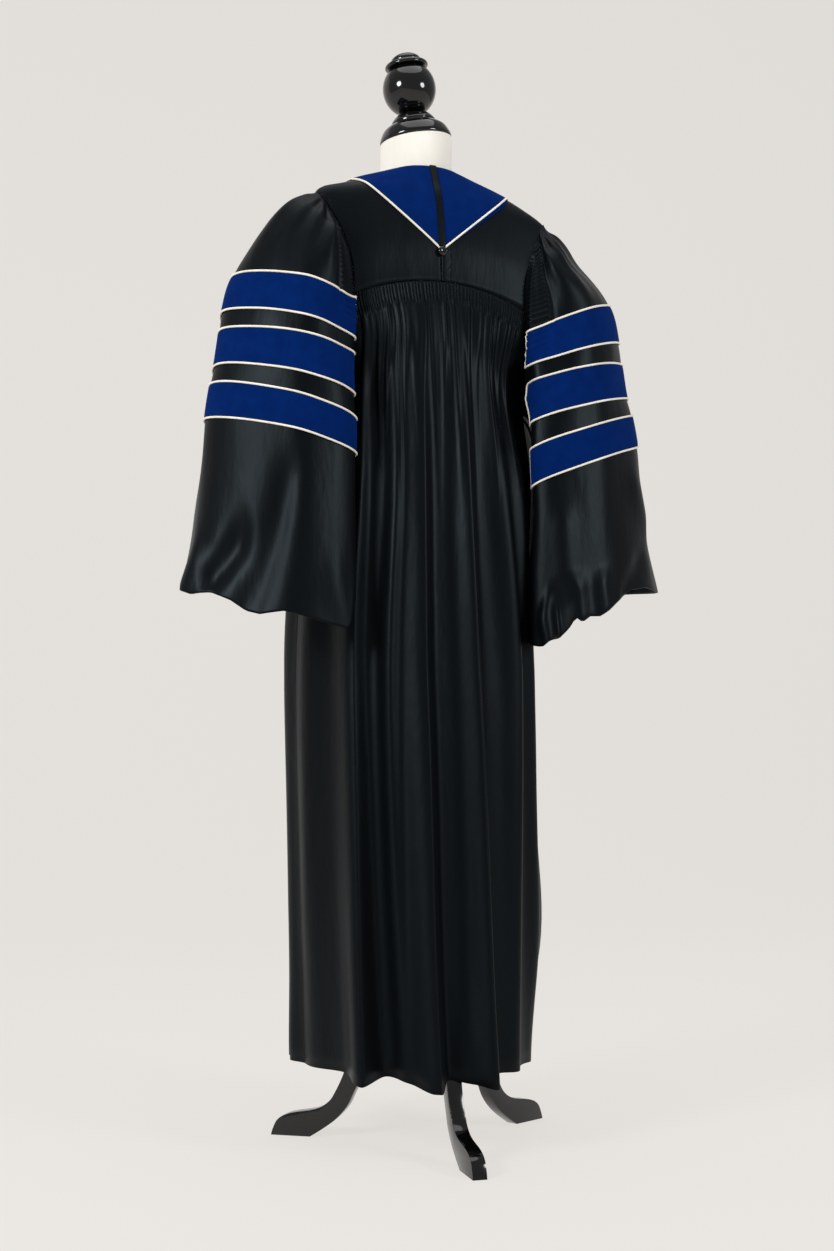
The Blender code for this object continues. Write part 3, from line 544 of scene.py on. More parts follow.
# %% [markdown]
# Gown cloth is black satin-faced polyester: nearly black, with broad, cool highlights that run
# down the folds. A cool specular tint colours them, patches of roughness break them up, and faint
# crumples keep the panels from looking like plastic.

# %% Black gown cloth
black_cloth, tree, shader = material(
    "black cloth", (0.0014, 0.0019, 0.0026), 0.44, Sheen_Weight=0.010, Sheen_Roughness=0.35,
    Specular_IOR_Level=0.11)
shader.inputs["Sheen Tint"].default_value = (0.45, 0.65, 0.95, 1)
shader.inputs["Specular Tint"].default_value = (0.72, 0.90, 1.0, 1)
place = add_node(tree, "ShaderNodeTexCoord")
threads = effect(tree, weave, {"Vector": place.outputs["UV"], "Radians per metre": 5200.0})
patches = effect(tree, clouds, {"Vector": place.outputs["Object"], "Scale": 7.0, "Stretch": 0.35,
                                "Low": 0.39, "High": 0.49})
tree.links.new(patches.outputs["Mask"], shader.inputs["Roughness"])
crumple = effect(tree, clouds, {"Vector": place.outputs["Object"], "Scale": 22.0, "Stretch": 0.3})
thread_height = maths(tree, "MULTIPLY", threads.outputs["Height"], 0.006)
bumped(tree, shader, maths(tree, "ADD", crumple.outputs["Mask"], thread_height), 0.0012, 0.6)
shade = colour_mix(tree, patches.outputs["Mask"],
                   (0.0010, 0.0014, 0.0019), (0.0018, 0.0024, 0.0033))
tree.links.new(shade, shader.inputs["Base Color"])

# %% [markdown]
# Velvet is deep in colour and hardly shines. A little sheen lights its edges, and cloudy patches,
# where the pile leans, change its colour.

# %% Blue velvet
blue_velvet, tree, shader = material(
    "blue velvet", (0.001, 0.015, 0.11), 0.85, Sheen_Weight=0.05, Sheen_Roughness=0.45,
    Specular_IOR_Level=0.02)
shader.inputs["Sheen Tint"].default_value = (0.10, 0.30, 0.95, 1)
place = add_node(tree, "ShaderNodeTexCoord")
pile = effect(tree, clouds, {"Vector": place.outputs["Object"], "Scale": 55.0})
grain = add_node(tree, "ShaderNodeTexNoise",
                 {"Vector": place.outputs["Object"], "Scale": 900.0, "Detail": 2.0})
mixed = maths(tree, "ADD", pile.outputs["Mask"], grain.outputs[0])
shade = colour_mix(tree, maths(tree, "MULTIPLY", mixed, 0.5),
                   (0.0003, 0.0098, 0.074), (0.0007, 0.0165, 0.116))
tree.links.new(shade, shader.inputs["Base Color"])
bumped(tree, shader, mixed, 0.0004, 0.7)

# %% [markdown]
# The piping is a thin cream cord, a little soiled in places. The form is covered in plain linen,
# padded and smooth, which shows its weave close up.

# %% Cream piping and cream linen
cream_cord, tree, shader = material("cream cord", (0.80, 0.74, 0.62), 0.5, Sheen_Weight=0.15)
place = add_node(tree, "ShaderNodeTexCoord")
soil = effect(tree, clouds, {"Vector": place.outputs["Object"], "Scale": 40.0})
shade = colour_mix(tree, soil.outputs["Mask"], (0.74, 0.68, 0.55), (0.86, 0.81, 0.70))
tree.links.new(shade, shader.inputs["Base Color"])

cream_linen, tree, shader = material("cream linen", (0.86, 0.82, 0.74), 0.8, Sheen_Weight=0.2)
place = add_node(tree, "ShaderNodeTexCoord")
soil = effect(tree, clouds, {"Vector": place.outputs["Object"], "Scale": 9.0})
threads = effect(tree, weave, {"Vector": place.outputs["Object"], "Radians per metre": 6000.0})
shade = colour_mix(tree, soil.outputs["Mask"], (0.83, 0.79, 0.71), (0.88, 0.84, 0.77))
tree.links.new(shade, shader.inputs["Base Color"])
bumped(tree, shader, threads.outputs["Height"], 0.0002, 0.5)

# %% [markdown]
# The wood is sprayed with glossy black lacquer. Real lacquer is never quite flat: the coat carries
# a faint ripple, and a little dust dulls it in patches.

# %% Black lacquer
black_lacquer, tree, shader = material(
    "black lacquer", (0.002, 0.002, 0.0022), 0.12, Specular_IOR_Level=0.4, Coat_Weight=0.25,
    Coat_Roughness=0.03)
place = add_node(tree, "ShaderNodeTexCoord")
dust = effect(tree, clouds, {"Vector": place.outputs["Object"], "Scale": 14.0, "Low": 0.07,
                             "High": 0.15})
tree.links.new(dust.outputs["Mask"], shader.inputs["Roughness"])
ripple = effect(tree, clouds, {"Vector": place.outputs["Object"], "Scale": 30.0})
bumped(tree, shader, ripple.outputs["Mask"], 0.0004, 0.25)
print("finishes:", [made.name for made in bpy.data.materials])

# %% [markdown]
# ## The gathered back panel
#
# One wide piece hangs from the arched yoke seam, from side seam to side seam. Most of its grid's
# columns are spent on the gathered middle, and most rows close under the seam, where the fluting
# needs them.

# %% Back panel
BACK_LEVELS = np.concatenate([
    np.linspace(0, 3.6, 46), np.linspace(3.65, 4.5, 20), np.linspace(4.53, YOKE_SEAM - 0.004, 26)])
SIDE_STEPS, GATHERED_STEPS = 34, 380


def back_place(column, row):
    """Places on the back: a few columns at each side, the rest across the gathers."""
    level = spaced(BACK_LEVELS, row)
    edge = panel_edge(level) - seam_angle(level)
    inner = np.minimum(edge - 1, GATHER_REACH)
    spot = column * (2 * SIDE_STEPS + GATHERED_STEPS)
    left = -edge + (edge - inner) * spot / SIDE_STEPS
    right = inner + (edge - inner) * (spot - SIDE_STEPS - GATHERED_STEPS) / SIDE_STEPS
    middle = inner * (2 * (spot - SIDE_STEPS) / GATHERED_STEPS - 1)
    angle = np.where(spot < SIDE_STEPS, left, middle)
    return np.where(spot > SIDE_STEPS + GATHERED_STEPS, right, angle), level


back_panel = cloth_piece(
    "gathered_back", 2 * SIDE_STEPS + GATHERED_STEPS, len(BACK_LEVELS) - 1, back_place, body,
    body_out, black_cloth, size=(1.1, 1.12))
keep(back_panel, "black_cloth", "back_panel")
print("back panel:", len(back_panel.data.polygons), "faces")

# %% [markdown]
# ## The yoke
#
# Two smooth halves meet in a seam at centre back, and lie proud of the gathers they hold. A narrow
# strip runs beside that seam. The lower edge is folded under, so it rolls off in the last
# millimetres. The upper rows follow the line of the velvet, so that the velvet can be laid on
# exactly the same points.

# %% The point of the velvet, as a line on the yoke
POINT_HEIGHT, POINT_RISE, COLLAR_END = 1.274, 0.83, 0.124


def velvet_line(x):
    """Angle and level of the velvet's edge on the back at this x, found by halving."""
    low, high = np.full_like(x, YOKE_SEAM), np.full_like(x, COLLAR + 0.2)
    for _ in range(36):
        level = (low + high) / 2
        point = body(angle_at(x, level), level)
        under = (x < along(RING["half_width"], level)) & (
            point[:, 2] < POINT_HEIGHT + POINT_RISE * x)
        low, high = np.where(under, level, low), np.where(under, high, level)
    return angle_at(x, low), low


POINT_STEPS = 24
POINT_LINE = np.stack(velvet_line(np.linspace(0, COLLAR_END, POINT_STEPS + 1)[:-1]))
POINT_LINE = np.c_[POINT_LINE, [90.0, COLLAR]]
TIP_ROWS, COLLAR_ROWS = 25, 28
YOKE_SIDE = np.r_[
    np.linspace(YOKE_SEAM, TIP, TIP_ROWS), np.linspace(TIP, COLLAR, COLLAR_ROWS + 1)[1:]]
print("the point lies at level", POINT_LINE[1, 0])

# %% [markdown]
# The yoke is cut in two halves that meet at the centre back, above the gathers. One function lays
# both, mirrored, so the seam between them closes. The right half has a narrow stitched strip along
# the seam, which is only a step in the height of the same grid.


# %% Yoke halves
def point_line(share):
    """The velvet's line, read at a share of its length."""
    return spaced(POINT_LINE[0], share), spaced(POINT_LINE[1], share)


def width_at(angle, level):
    """How far to the side the ring reaches at this angle."""
    return along(RING["half_width"], level) * np.sin(np.radians(angle))


def yoke_lower(column, row):
    """A patch between the yoke seam, centre back, the velvet's line and the armhole."""
    top_angle, top_level = point_line(column)
    side_level = spaced(YOKE_SIDE, row)
    start = POINT_LINE[1, 0]
    side_x = width_at(panel_edge(side_level), side_level)
    x = (width_at(top_angle, top_level) * row + side_x * column
         - width_at(90.0, np.array([COLLAR])) * column * row)
    level = (YOKE_SEAM * (1 - row) + top_level * row
             + (YOKE_SEAM + (start - YOKE_SEAM) * row) * (1 - column) + side_level * column
             - YOKE_SEAM * (1 - row) - start * (1 - column) * row - COLLAR * column * row)
    return angle_at(x, level), level


def yoke_place(column, row):
    """Row 0 to 1 is the lower yoke, 1 to 2 the part under the velvet."""
    angle, level = yoke_lower(column, np.minimum(row, 1))
    top_angle, top_level = point_line(column)
    share = np.maximum(row - 1, 0)
    over = row > 1
    angle = np.where(over, top_angle + (90 * column - top_angle) * share, angle)
    level = np.where(over, top_level + (NECK - top_level) * share, level)
    return angle, level


YOKE_PROUD, YOKE_ROLL, YOKE_ROWS_UNDER_VELVET = 0.0016, 0.045, 0.5
SEAM_DIP, SEAM_DIP_WIDTH = 0.0012, 0.0016
STRIP_EDGE, STRIP_RISE, STRIP_STITCH = 0.0102, 0.0009, 0.0006


def yoke_piece(side, label):
    """One half of the yoke; the right one carries the narrow strip."""
    def place(column, row):
        angle, level = yoke_place(column, row * (1 + YOKE_ROWS_UNDER_VELVET))
        gap = seam_angle(level)
        return np.clip(angle, gap, panel_edge(level) - gap) * side, level

    def depth(column, row, angle, level):
        x = np.abs(body(angle, level)[:, 0])
        proud = YOKE_PROUD * (1 - np.exp(-((level - YOKE_SEAM) / YOKE_ROLL) ** 2 * 3))
        seam = -SEAM_DIP * np.exp(-((x / SEAM_DIP_WIDTH) ** 2))
        strip = 0.0
        if side < 0:
            strip = STRIP_RISE * smooth(STRIP_EDGE + 0.0008, STRIP_EDGE, x)
            strip = strip - STRIP_STITCH * bump(x, STRIP_EDGE + 0.0012, 0.0009)
        return proud + seam + strip

    made = cloth_piece(f"yoke_{label}_half", 70, 78, place, body, body_out, black_cloth,
                       size=(0.17, 0.16), depth=depth)
    return keep(made, "black_cloth", f"yoke_{label}")


yoke_left = yoke_piece(1, "left")
yoke_right = yoke_piece(-1, "right")
print("yoke halves are", yoke_left.dimensions.x, "m wide")

# %% [markdown]
# ## The fronts
#
# Both fronts run from the side seam to centre front, where they meet edge to edge over a hidden
# zip. The velvet facing covers the inner part, so both are laid on the same places. Each row of
# the table gives the levels at the panel's outer edge, at the velvet's edge and at the inner edge,
# and the inner edge's angle.

# %% Fronts
FRONT_VELVET, FRONT_UNDER_VELVET = 0.112, 0.6
FRONT_COLUMNS = ("edge", "velvet", "inner", "inner_angle")
FRONT_ROWS = np.array((
    (0.0, 0.0, 0.0, 180), (0.8, 0.8, 0.8, 180), (1.6, 1.6, 1.6, 180), (2.4, 2.4, 2.4, 180),
    (3.2, 3.2, 3.2, 180), (4.0, 4.0, 4.1, 180), (4.21, 4.4, 4.8, 180), (4.39, 4.8, 5.5, 180),
    (5.0, 5.4, 6.6, 180), (5.38, 5.9, 7.8, 180), (5.86, 6.4, 9.0, 180), (6.4, 6.9, 9.0, 154),
    (6.55, 7.2, 9.0, 138), (6.7, 7.45, 9.0, 125), (6.85, 7.7, 9.0, 112), (7.0, 8.0, 9.0, 90),
))


def front_place(column, row):
    """Column 0 is the outer edge, 1 the velvet's edge and 2 centre front or the neckline."""
    edge, velvet, inner, inner_angle = (
        spaced(FRONT_ROWS[:, i], row) for i in range(len(FRONT_COLUMNS)))
    x = FRONT_VELVET + (COLLAR_END - FRONT_VELVET) * smooth(6, COLLAR, velvet)
    velvet_angle = np.maximum(angle_at(x, velvet, True), 90.0)
    outer_angle = panel_edge(edge, True)
    share = np.maximum(column - 1, 0)
    angle = np.where(column < 1, outer_angle + (velvet_angle - outer_angle) * column,
                     velvet_angle + (inner_angle - velvet_angle) * share)
    level = np.where(column < 1, edge + (velvet - edge) * column,
                     velvet + (inner - velvet) * share)
    return angle, level


def trimmed_front(column, row, side):
    """The same places, kept clear of the seams, on the left (1) or the right (-1)."""
    angle, level = front_place(column, row)
    gap = seam_angle(level)
    return np.clip(angle, panel_edge(level, True) + gap, 180 - gap) * side, level


def front_piece(side, label):
    """One front, from its side seam to a little way under the velvet facing."""
    made = cloth_piece(
        f"front_{label}_panel", 110, 150,
        lambda column, row: trimmed_front(column * (1 + FRONT_UNDER_VELVET), row, side),
        body, body_out, black_cloth, size=(0.42, 1.3))
    return keep(made, "black_cloth", f"front_{label}")


front_left = front_piece(1, "left")
front_right = front_piece(-1, "right")
print("fronts reach from", front_left.bound_box[0][2], "to", front_left.bound_box[6][2])

# %% [markdown]
# ## Velvet neck and facings
#
# The velvet on the back comes to a point and is one piece. It is thicker than the gown cloth and
# its edges are soft, so its height eases down in the last two millimetres. Piping runs along the
# outer edge of every velvet piece.

# %% Velvet on the neck
VELVET_WALL, PIPING_RADIUS = 0.0019, 0.0015
VELVET_LIFT = YOKE_PROUD + VELVET_WALL + 0.0002


def soft_edge(share, reach=0.05, fall=0.0008):
    """How far a pile's edge sinks, close to both ends of a row or column."""
    return -fall * (np.exp(-((share / reach) ** 2)) + np.exp(-(((1 - share) / reach) ** 2)))


def neck_place(column, row):
    """Places across the whole neck, on the yoke's own upper rows."""
    across = 2 * column - 1
    angle, level = yoke_place(np.abs(across), 1 + row)
    angle = np.minimum(angle, 90 - seam_angle(level))
    return np.where(across < 0, -1, 1) * np.maximum(angle, 1e-6), level


velvet_neck = cloth_piece(
    "velvet_neck_facing", 120, 44, neck_place, body, body_out, blue_velvet, lift=VELVET_LIFT,
    wall=VELVET_WALL, size=(0.26, 0.14),
    depth=lambda column, row, angle, level: soft_edge(row))
keep(velvet_neck, "blue_velvet", "velvet_neck")


SIDES = {"left": 1, "right": -1}
PIPING_BESIDE = PIPING_RADIUS * 0.8


def edge_piping(part, label, angle, level, lift):
    """Piping beside a line on the body, on the left or mirrored to the right."""
    here = body(angle, level)
    run = unit(np.gradient(here, axis=0))
    out = body_out(angle, level)
    points = here + out * lift + np.cross(run, out) * PIPING_BESIDE
    return tube(f"{part}_piping_{label}", points * (SIDES[label], 1, 1), PIPING_RADIUS, cream_cord)


for label in SIDES:
    angle, level = point_line(np.linspace(0.012, 0.995, 60))
    piping = edge_piping("neck", label, angle, level, YOKE_PROUD + PIPING_RADIUS)
    keep(piping, "cream_cord", f"piping_neck_{label}")
print("velvet neck is", velvet_neck.dimensions.x, "m wide")

# %% [markdown]
# A long velvet facing runs down each front, edged with piping. It takes the same places on the body
# as the front under it, a velvet's thickness further out, so the two can't cross.

# %% Velvet down the fronts
facings = {}
for label, side in SIDES.items():
    facing = cloth_piece(
        f"velvet_facing_{label}", 44, 170,
        lambda column, row, side=side: trimmed_front(1 + column, row, side), body, body_out,
        blue_velvet, lift=VELVET_WALL + 0.0003, wall=VELVET_WALL, size=(0.112, 1.36),
        depth=lambda column, row, angle, level: soft_edge(column, 0.03))
    facings[label] = keep(facing, "blue_velvet", f"velvet_front_{label}")
    row = np.linspace(0, 1, 160)
    angle, level = front_place(np.ones_like(row), row)
    piping = edge_piping("facing", label, angle, level, PIPING_RADIUS + 0.0002)
    keep(piping, "cream_cord", f"piping_front_{label}")
print("facings are", facings["left"].dimensions.z, "m long")

# %% [markdown]
# ## The bell sleeves
#
# A sleeve starts on the armhole and widens to an open cuff. Seven points go round it in each row
# of the table: the seam, the inner back corner, the back, the outer edge, and the same in front.
# Rows down to the underarm start and end on the armhole, at the share of its height that the table
# gives; the others close under the arm.

# %% The sleeve's rows
SLEEVE_COLUMNS = (
    "armhole", "outer_x", "outer_z", "inner_x", "inner_z", "back_x", "back_y", "front_x", "front_y",
)
SLEEVE_ROWS = (
    (0.80, 0.1775, 1.3370, 0.150, 1.285, 0.158, 0.030, 0.162, -0.106),
    (0.62, 0.2150, 1.3330, 0.150, 1.270, 0.150, 0.054, 0.163, -0.155),
    (0.46, 0.2530, 1.2880, 0.150, 1.235, 0.145, 0.065, 0.158, -0.154),
    (1 / 3, 0.2855, 1.2270, 0.150, 1.192, 0.141, 0.070, 0.158, -0.160),
    (0.13, 0.2990, 1.1760, 0.150, 1.135, 0.139, 0.073, 0.162, -0.162),
    (0.07, 0.3030, 1.1500, 0.150, 1.113, 0.140, 0.074, 0.165, -0.162),
    (0.00, 0.3070, 1.1250, 0.150, 1.085, 0.140, 0.074, 0.168, -0.161),
    (-1.0, 0.3110, 1.1000, 0.172, 1.055, 0.138, 0.075, 0.172, -0.160),
    (-1.0, 0.3160, 1.0750, 0.182, 1.020, 0.135, 0.075, 0.176, -0.159),
    (-1.0, 0.3230, 1.0260, 0.190, 0.971, 0.135, 0.076, 0.180, -0.158),
    (-1.0, 0.3290, 0.9500, 0.193, 0.898, 0.136, 0.078, 0.183, -0.158),
    (-1.0, 0.3400, 0.8650, 0.197, 0.812, 0.137, 0.081, 0.186, -0.160),
    (-1.0, 0.3580, 0.7920, 0.201, 0.733, 0.138, 0.085, 0.189, -0.164),
)
SLEEVE = {name: np.array([row[i] for row in SLEEVE_ROWS])
          for i, name in enumerate(SLEEVE_COLUMNS)}
UNDERARM_ROW, CUFF_ROW, SLEEVE_OUT_Y = 6, 12, -0.022
CUFF_LIFT_INNER, CUFF_LIFT_FRONT = 0.034, 0.040
SLEEVE_BULGE, SLEEVE_SPANS = 0.010, 6
print(len(SLEEVE_ROWS), "rows from the shoulder to the cuff")

# %% [markdown]
# Each row is a few points with a smooth curve through them. The first row is the sleeve's seam, so
# the curve there is pulled onto the armhole's edge, and the pull fades away by the second row.


# %% The plain sleeve
def sleeve_points(row):
    """Seven arrays of points round the left sleeve, from the back of its seam to the front."""
    value = {name: along(SLEEVE[name], row) for name in SLEEVE_COLUMNS[1:]}
    upper = (row <= UNDERARM_ROW)[:, None]
    share = np.interp(row, np.arange(UNDERARM_ROW + 1), SLEEVE["armhole"][: UNDERARM_ROW + 1])
    under_y = np.full_like(row, RING["y_side"][int(UNDERARM)])
    under = np.stack([value["inner_x"], under_y, value["inner_z"]], -1)
    low = smooth(7, CUFF_ROW, row)
    up = np.array((0, 0, 1.0))
    start = np.where(upper, armhole(share), under) + up * (CUFF_LIFT_INNER * low)[:, None]
    end = np.where(upper, armhole(share, True), under) + up * (CUFF_LIFT_INNER * low)[:, None]
    mid_x = (value["back_x"] + value["outer_x"]) / 2
    rise = value["outer_z"] - value["inner_z"]
    bulge = SLEEVE_BULGE * smooth(0, 3, row)
    lift = CUFF_LIFT_FRONT * low
    corner_z, middle_z = value["inner_z"] + rise * 0.05, value["inner_z"] + rise * 0.55
    return [
        start,
        np.stack([value["back_x"], value["back_y"] - bulge, corner_z], -1),
        np.stack([mid_x, value["back_y"] + bulge * 0.6, middle_z], -1),
        np.stack([value["outer_x"], SLEEVE_OUT_Y * smooth(0, 3, row), value["outer_z"]], -1),
        np.stack([mid_x + 0.012, value["front_y"] - bulge * 0.6, middle_z + lift], -1),
        np.stack([value["front_x"], value["front_y"] + bulge, corner_z + lift], -1),
        end,
    ]


def sleeve_net(u, row):
    """The smooth curve round each row: u is 0 at the back of the seam and 1 at its front."""
    points = np.stack(sleeve_points(row))
    last = SLEEVE_SPANS - 1
    first = np.clip((u * SLEEVE_SPANS).astype(int), 0, last)
    share = (u * SLEEVE_SPANS - first)[:, None]
    pick = np.arange(len(u))
    start, end = points[first, pick], points[first + 1, pick]
    closed = (row > UNDERARM_ROW)[:, None]
    ahead = np.where(closed, points[last, pick], 2 * start - end)
    behind = np.where(closed, points[1, pick], 2 * end - start)
    before = np.where((first > 0)[:, None], points[np.maximum(first - 1, 0), pick], ahead)
    beyond = points[np.minimum(first + 2, SLEEVE_SPANS), pick]
    after = np.where((first < last)[:, None], beyond, behind)
    return through(before, start, end, after, share)


def sleeve_plain(u, row):
    """The left sleeve without folds, its first rows pulled onto the armhole."""
    made = sleeve_net(u, row)
    top = row < 1
    if top.any():
        share = 1 - (1 - SLEEVE_ROWS[0][0]) * np.abs(2 * u[top] - 1)
        seam = np.where((u[top] > 0.5)[:, None], armhole(share, True), armhole(share))
        pull = seam - sleeve_net(u[top], np.zeros_like(u[top]))
        made[top] += pull * (1 - row[top])[:, None] ** 2
    return made + np.array((SEAM_GAP * 2, 0, 0))


def surface_out(surface, u, row, u_step=0.003, row_step=0.015):
    """The outward direction of a sleeve's surface."""
    u = np.clip(u, u_step, 1 - u_step)
    row = np.clip(row, row_step, CUFF_ROW - row_step)
    across = surface(u + u_step, row) - surface(u - u_step, row)
    down = surface(u, row + row_step) - surface(u, row - row_step)
    return unit(np.cross(across, down))


print("the cuff reaches", sleeve_plain(np.array([0.5]), np.array([float(CUFF_ROW)])))

# %% [markdown]
# ## How each sleeve hangs
#
# The head of the sleeve is gathered: fluted along the back of the armhole and puffed over the
# shoulder. The velvet bars are stiff and hold the middle smooth. Below them the cloth is free, and
# each sleeve has creases of its own, so they are listed one by one as soft troughs and ridges that
# run from one place to another.

# %% Sleeve folds and creases
CREASE_COLUMNS = ("u", "row", "to_u", "to_row", "width", "height")
CREASES = {
    "left": (
        (0.322, 9.2, 0.388, 12.0, 0.022, -0.007),
        (0.396, 10.6, 0.440, 11.7, 0.016, -0.012),
        (0.470, 11.0, 0.495, 11.9, 0.020, 0.006),
        (0.2625, 10.9, 0.208, 11.9, 0.022, 0.004),
        (0.120, 9.6, 0.110, 12.2, 0.030, 0.008),
        (0.560, 9.5, 0.580, 12.2, 0.030, 0.012),
        (0.640, 9.3, 0.660, 12.2, 0.026, -0.013),
        (0.720, 9.6, 0.740, 12.2, 0.030, 0.013),
        (0.810, 9.8, 0.830, 12.2, 0.026, -0.010),
        (0.900, 9.9, 0.900, 12.2, 0.030, 0.009),
    ),
    "right": (
        (0.231, 9.5, 0.232, 11.1, 0.022, 0.005),
        (0.176, 11.2, 0.197, 12.0, 0.016, 0.009),
        (0.215, 11.0, 0.216, 12.2, 0.012, -0.010),
        (0.253, 11.0, 0.253, 11.9, 0.014, 0.006),
        (0.297, 11.1, 0.297, 11.9, 0.014, 0.005),
        (0.391, 9.3, 0.450, 10.4, 0.022, 0.005),
        (0.429, 11.2, 0.350, 12.0, 0.014, -0.006),
        (0.120, 9.8, 0.130, 12.3, 0.030, 0.010),
        (0.560, 9.4, 0.570, 12.2, 0.030, 0.011),
        (0.650, 9.5, 0.640, 12.2, 0.026, -0.012),
        (0.740, 9.5, 0.760, 12.2, 0.032, 0.013),
        (0.850, 9.8, 0.850, 12.2, 0.028, -0.010),
    ),
}
SHIFTS = {"left": 0.0, "right": 0.7}
CAP_GATHERS, CAP_DEPTH, CAP_PUFFS, CAP_PUFF_DEPTH = 15, 0.0034, 5.2, 0.0030
CAP_CROWN = {"left": 0.004, "right": -0.003}
ARMHOLE_FLUTES, ARMHOLE_DEPTH, ARMHOLE_WIDTH, ARMHOLE_GROOVE = 6.4, 0.0010, 0.214, 0.0022
BAR_RIPPLE = 0.0006
ROW_PER_U = 22.0


def creases(label, u, row):
    """Soft troughs and ridges, each along its own short line."""
    total = np.zeros_like(u)
    for line in CREASES[label]:
        crease = dict(zip(CREASE_COLUMNS, line))
        run_u = (crease["to_u"] - crease["u"]) * ROW_PER_U
        run_row = crease["to_row"] - crease["row"]
        size = math.hypot(run_u, run_row)
        away_u, away_row = (u - crease["u"]) * ROW_PER_U, row - crease["row"]
        ahead = (away_u * run_u + away_row * run_row) / size**2
        beside = (away_u * run_row - away_row * run_u) / size / ROW_PER_U
        ends = smooth(-0.10, 0.45, ahead) * smooth(1.35, 1.0, ahead)
        total = total + crease["height"] * ends * np.exp(-((beside / crease["width"]) ** 2))
    return total


def sleeve_height(label, u, row):
    """Everything that stands out on a sleeve; the shift makes the two sleeves differ."""
    shift = SHIFTS[label]
    wobble = u + 0.012 * np.sin(u * 31 + shift) + 0.006 * np.sin(row * 2.3)
    wave = np.cos(2 * math.pi * CAP_GATHERS * wobble)
    uneven = 0.62 + 0.38 * np.sin(u * 23 + 1.3 + shift)
    cap = smooth(0.0, 0.7, row) * smooth(3.3, 1.1, row)
    cap = cap * smooth(0.19, 0.27, u) * smooth(0.81, 0.73, u)
    total = CAP_DEPTH * wave * uneven * cap
    broad = np.sin(2 * math.pi * (u * CAP_PUFFS + shift))
    broad = broad * smooth(0.3, 1.6, row) * smooth(3.4, 2.0, row)
    total = total + CAP_PUFF_DEPTH * broad * smooth(0.05, 0.2, u)
    beside = np.minimum(u, 1 - u)
    near = smooth(ARMHOLE_WIDTH, ARMHOLE_WIDTH - 0.016, beside) * smooth(4.0, 3.4, row)
    total = total + ARMHOLE_DEPTH * np.cos(2 * math.pi * ARMHOLE_FLUTES * row) * near
    groove = bump(beside, ARMHOLE_WIDTH + 0.006, 0.008) * smooth(3.6, 3.0, row)
    ripple = np.sin(u * 60 + row * 0.8) * smooth(3, 4, row) * smooth(12, 9, row)
    total = total - ARMHOLE_GROOVE * groove + BAR_RIPPLE * ripple
    total = total + CAP_CROWN[label] * bump(row, 0.35, 0.35) * bump(u, 0.5, 0.12)
    return total + creases(label, u, row) * smooth(9.0, 9.9, row)


print("deepest crease:", min(line[-1] for lines in CREASES.values() for line in lines), "m")


# %% [markdown]
# The cuff's edge is uneven too: it dips where a fold swings down and lifts where the cloth is
# tucked back. Each pair of the table is a place u round the cuff and its rise in metres. The right
# sleeve hangs with more slant, a lower cap and a tilted cuff.

# %% The sleeves in place
RIGHT_SLANT, RIGHT_CAP_SAG, RIGHT_CUFF_TILT = 0.75, 0.015, 0.018
RIGHT_DROP, RIGHT_SPREAD, RIGHT_FLARE, ROUND_TOP = 0.006, 0.011, 0.009, 0.08
CUFF_EDGE = {
    "left": ((0, 0.022), (0.10, 0.032), (0.160, 0.040), (0.185, 0.030), (0.213, -0.010),
             (0.26, -0.012), (0.33, -0.013), (0.37, -0.023), (0.39, -0.021), (0.41, -0.010),
             (0.44, -0.002), (0.47, -0.010), (0.50, -0.007), (0.6, 0.000), (0.7, 0.006),
             (0.8, -0.004), (0.9, 0.012), (1, 0.022)),
    "right": ((0, 0.0), (0.10, -0.008), (0.167, -0.016), (0.180, -0.017), (0.198, -0.012),
              (0.216, -0.011), (0.233, -0.002), (0.244, 0.010), (0.254, 0.000), (0.269, 0.005),
              (0.286, 0.000), (0.304, 0.005), (0.322, 0.012), (0.34, 0.016), (0.37, 0.022),
              (0.40, 0.020), (0.45, 0.006), (0.50, 0.000), (0.6, -0.006), (0.7, 0.006),
              (0.8, -0.004), (1, 0.0)),
}


def sleeve_on(label):
    """The surface of one sleeve and its outward direction, with folds."""
    side = SIDES[label]

    def hang(u, row):
        if side > 0:
            return row
        slant = RIGHT_SLANT * (np.hypot(2 * u - 1, ROUND_TOP) - 0.25)
        return row + slant * smooth(0, 3, row) * smooth(CUFF_ROW, 8, row)

    def surface(u, row):
        fold_row, row = row, hang(u, row)
        made = sleeve_plain(u, row)
        out = surface_out(sleeve_plain, u, row)
        made = made + out * sleeve_height(label, u, fold_row)[:, None]
        edge = np.interp(u, *np.array(CUFF_EDGE[label]).T)
        made[:, 2] += edge * smooth(10, CUFF_ROW, row)
        if side < 0:
            turn = 1 - np.hypot(2 * u - 1, ROUND_TOP)
            sag = RIGHT_CAP_SAG * smooth(-0.6, 1.2, row) * smooth(2.9, 1.5, row) * turn
            tilt = RIGHT_CUFF_TILT * smooth(8, CUFF_ROW, row) * (2 * turn - 1)
            drop = RIGHT_DROP * smooth(3.5, 5, row) * smooth(11, 9.5, row)
            spread = RIGHT_SPREAD * smooth(1.6, 3.4, row) + RIGHT_FLARE * smooth(6, 9.5, row)
            spread = spread * smooth(0.15, 0.9, turn)
            made = made * (-1, 1, 1) + np.stack([sag - spread, 0 * sag, tilt - sag - drop], -1)
        return made

    def outward(u, row):
        return surface_out(surface, u, row) * side

    return surface, outward


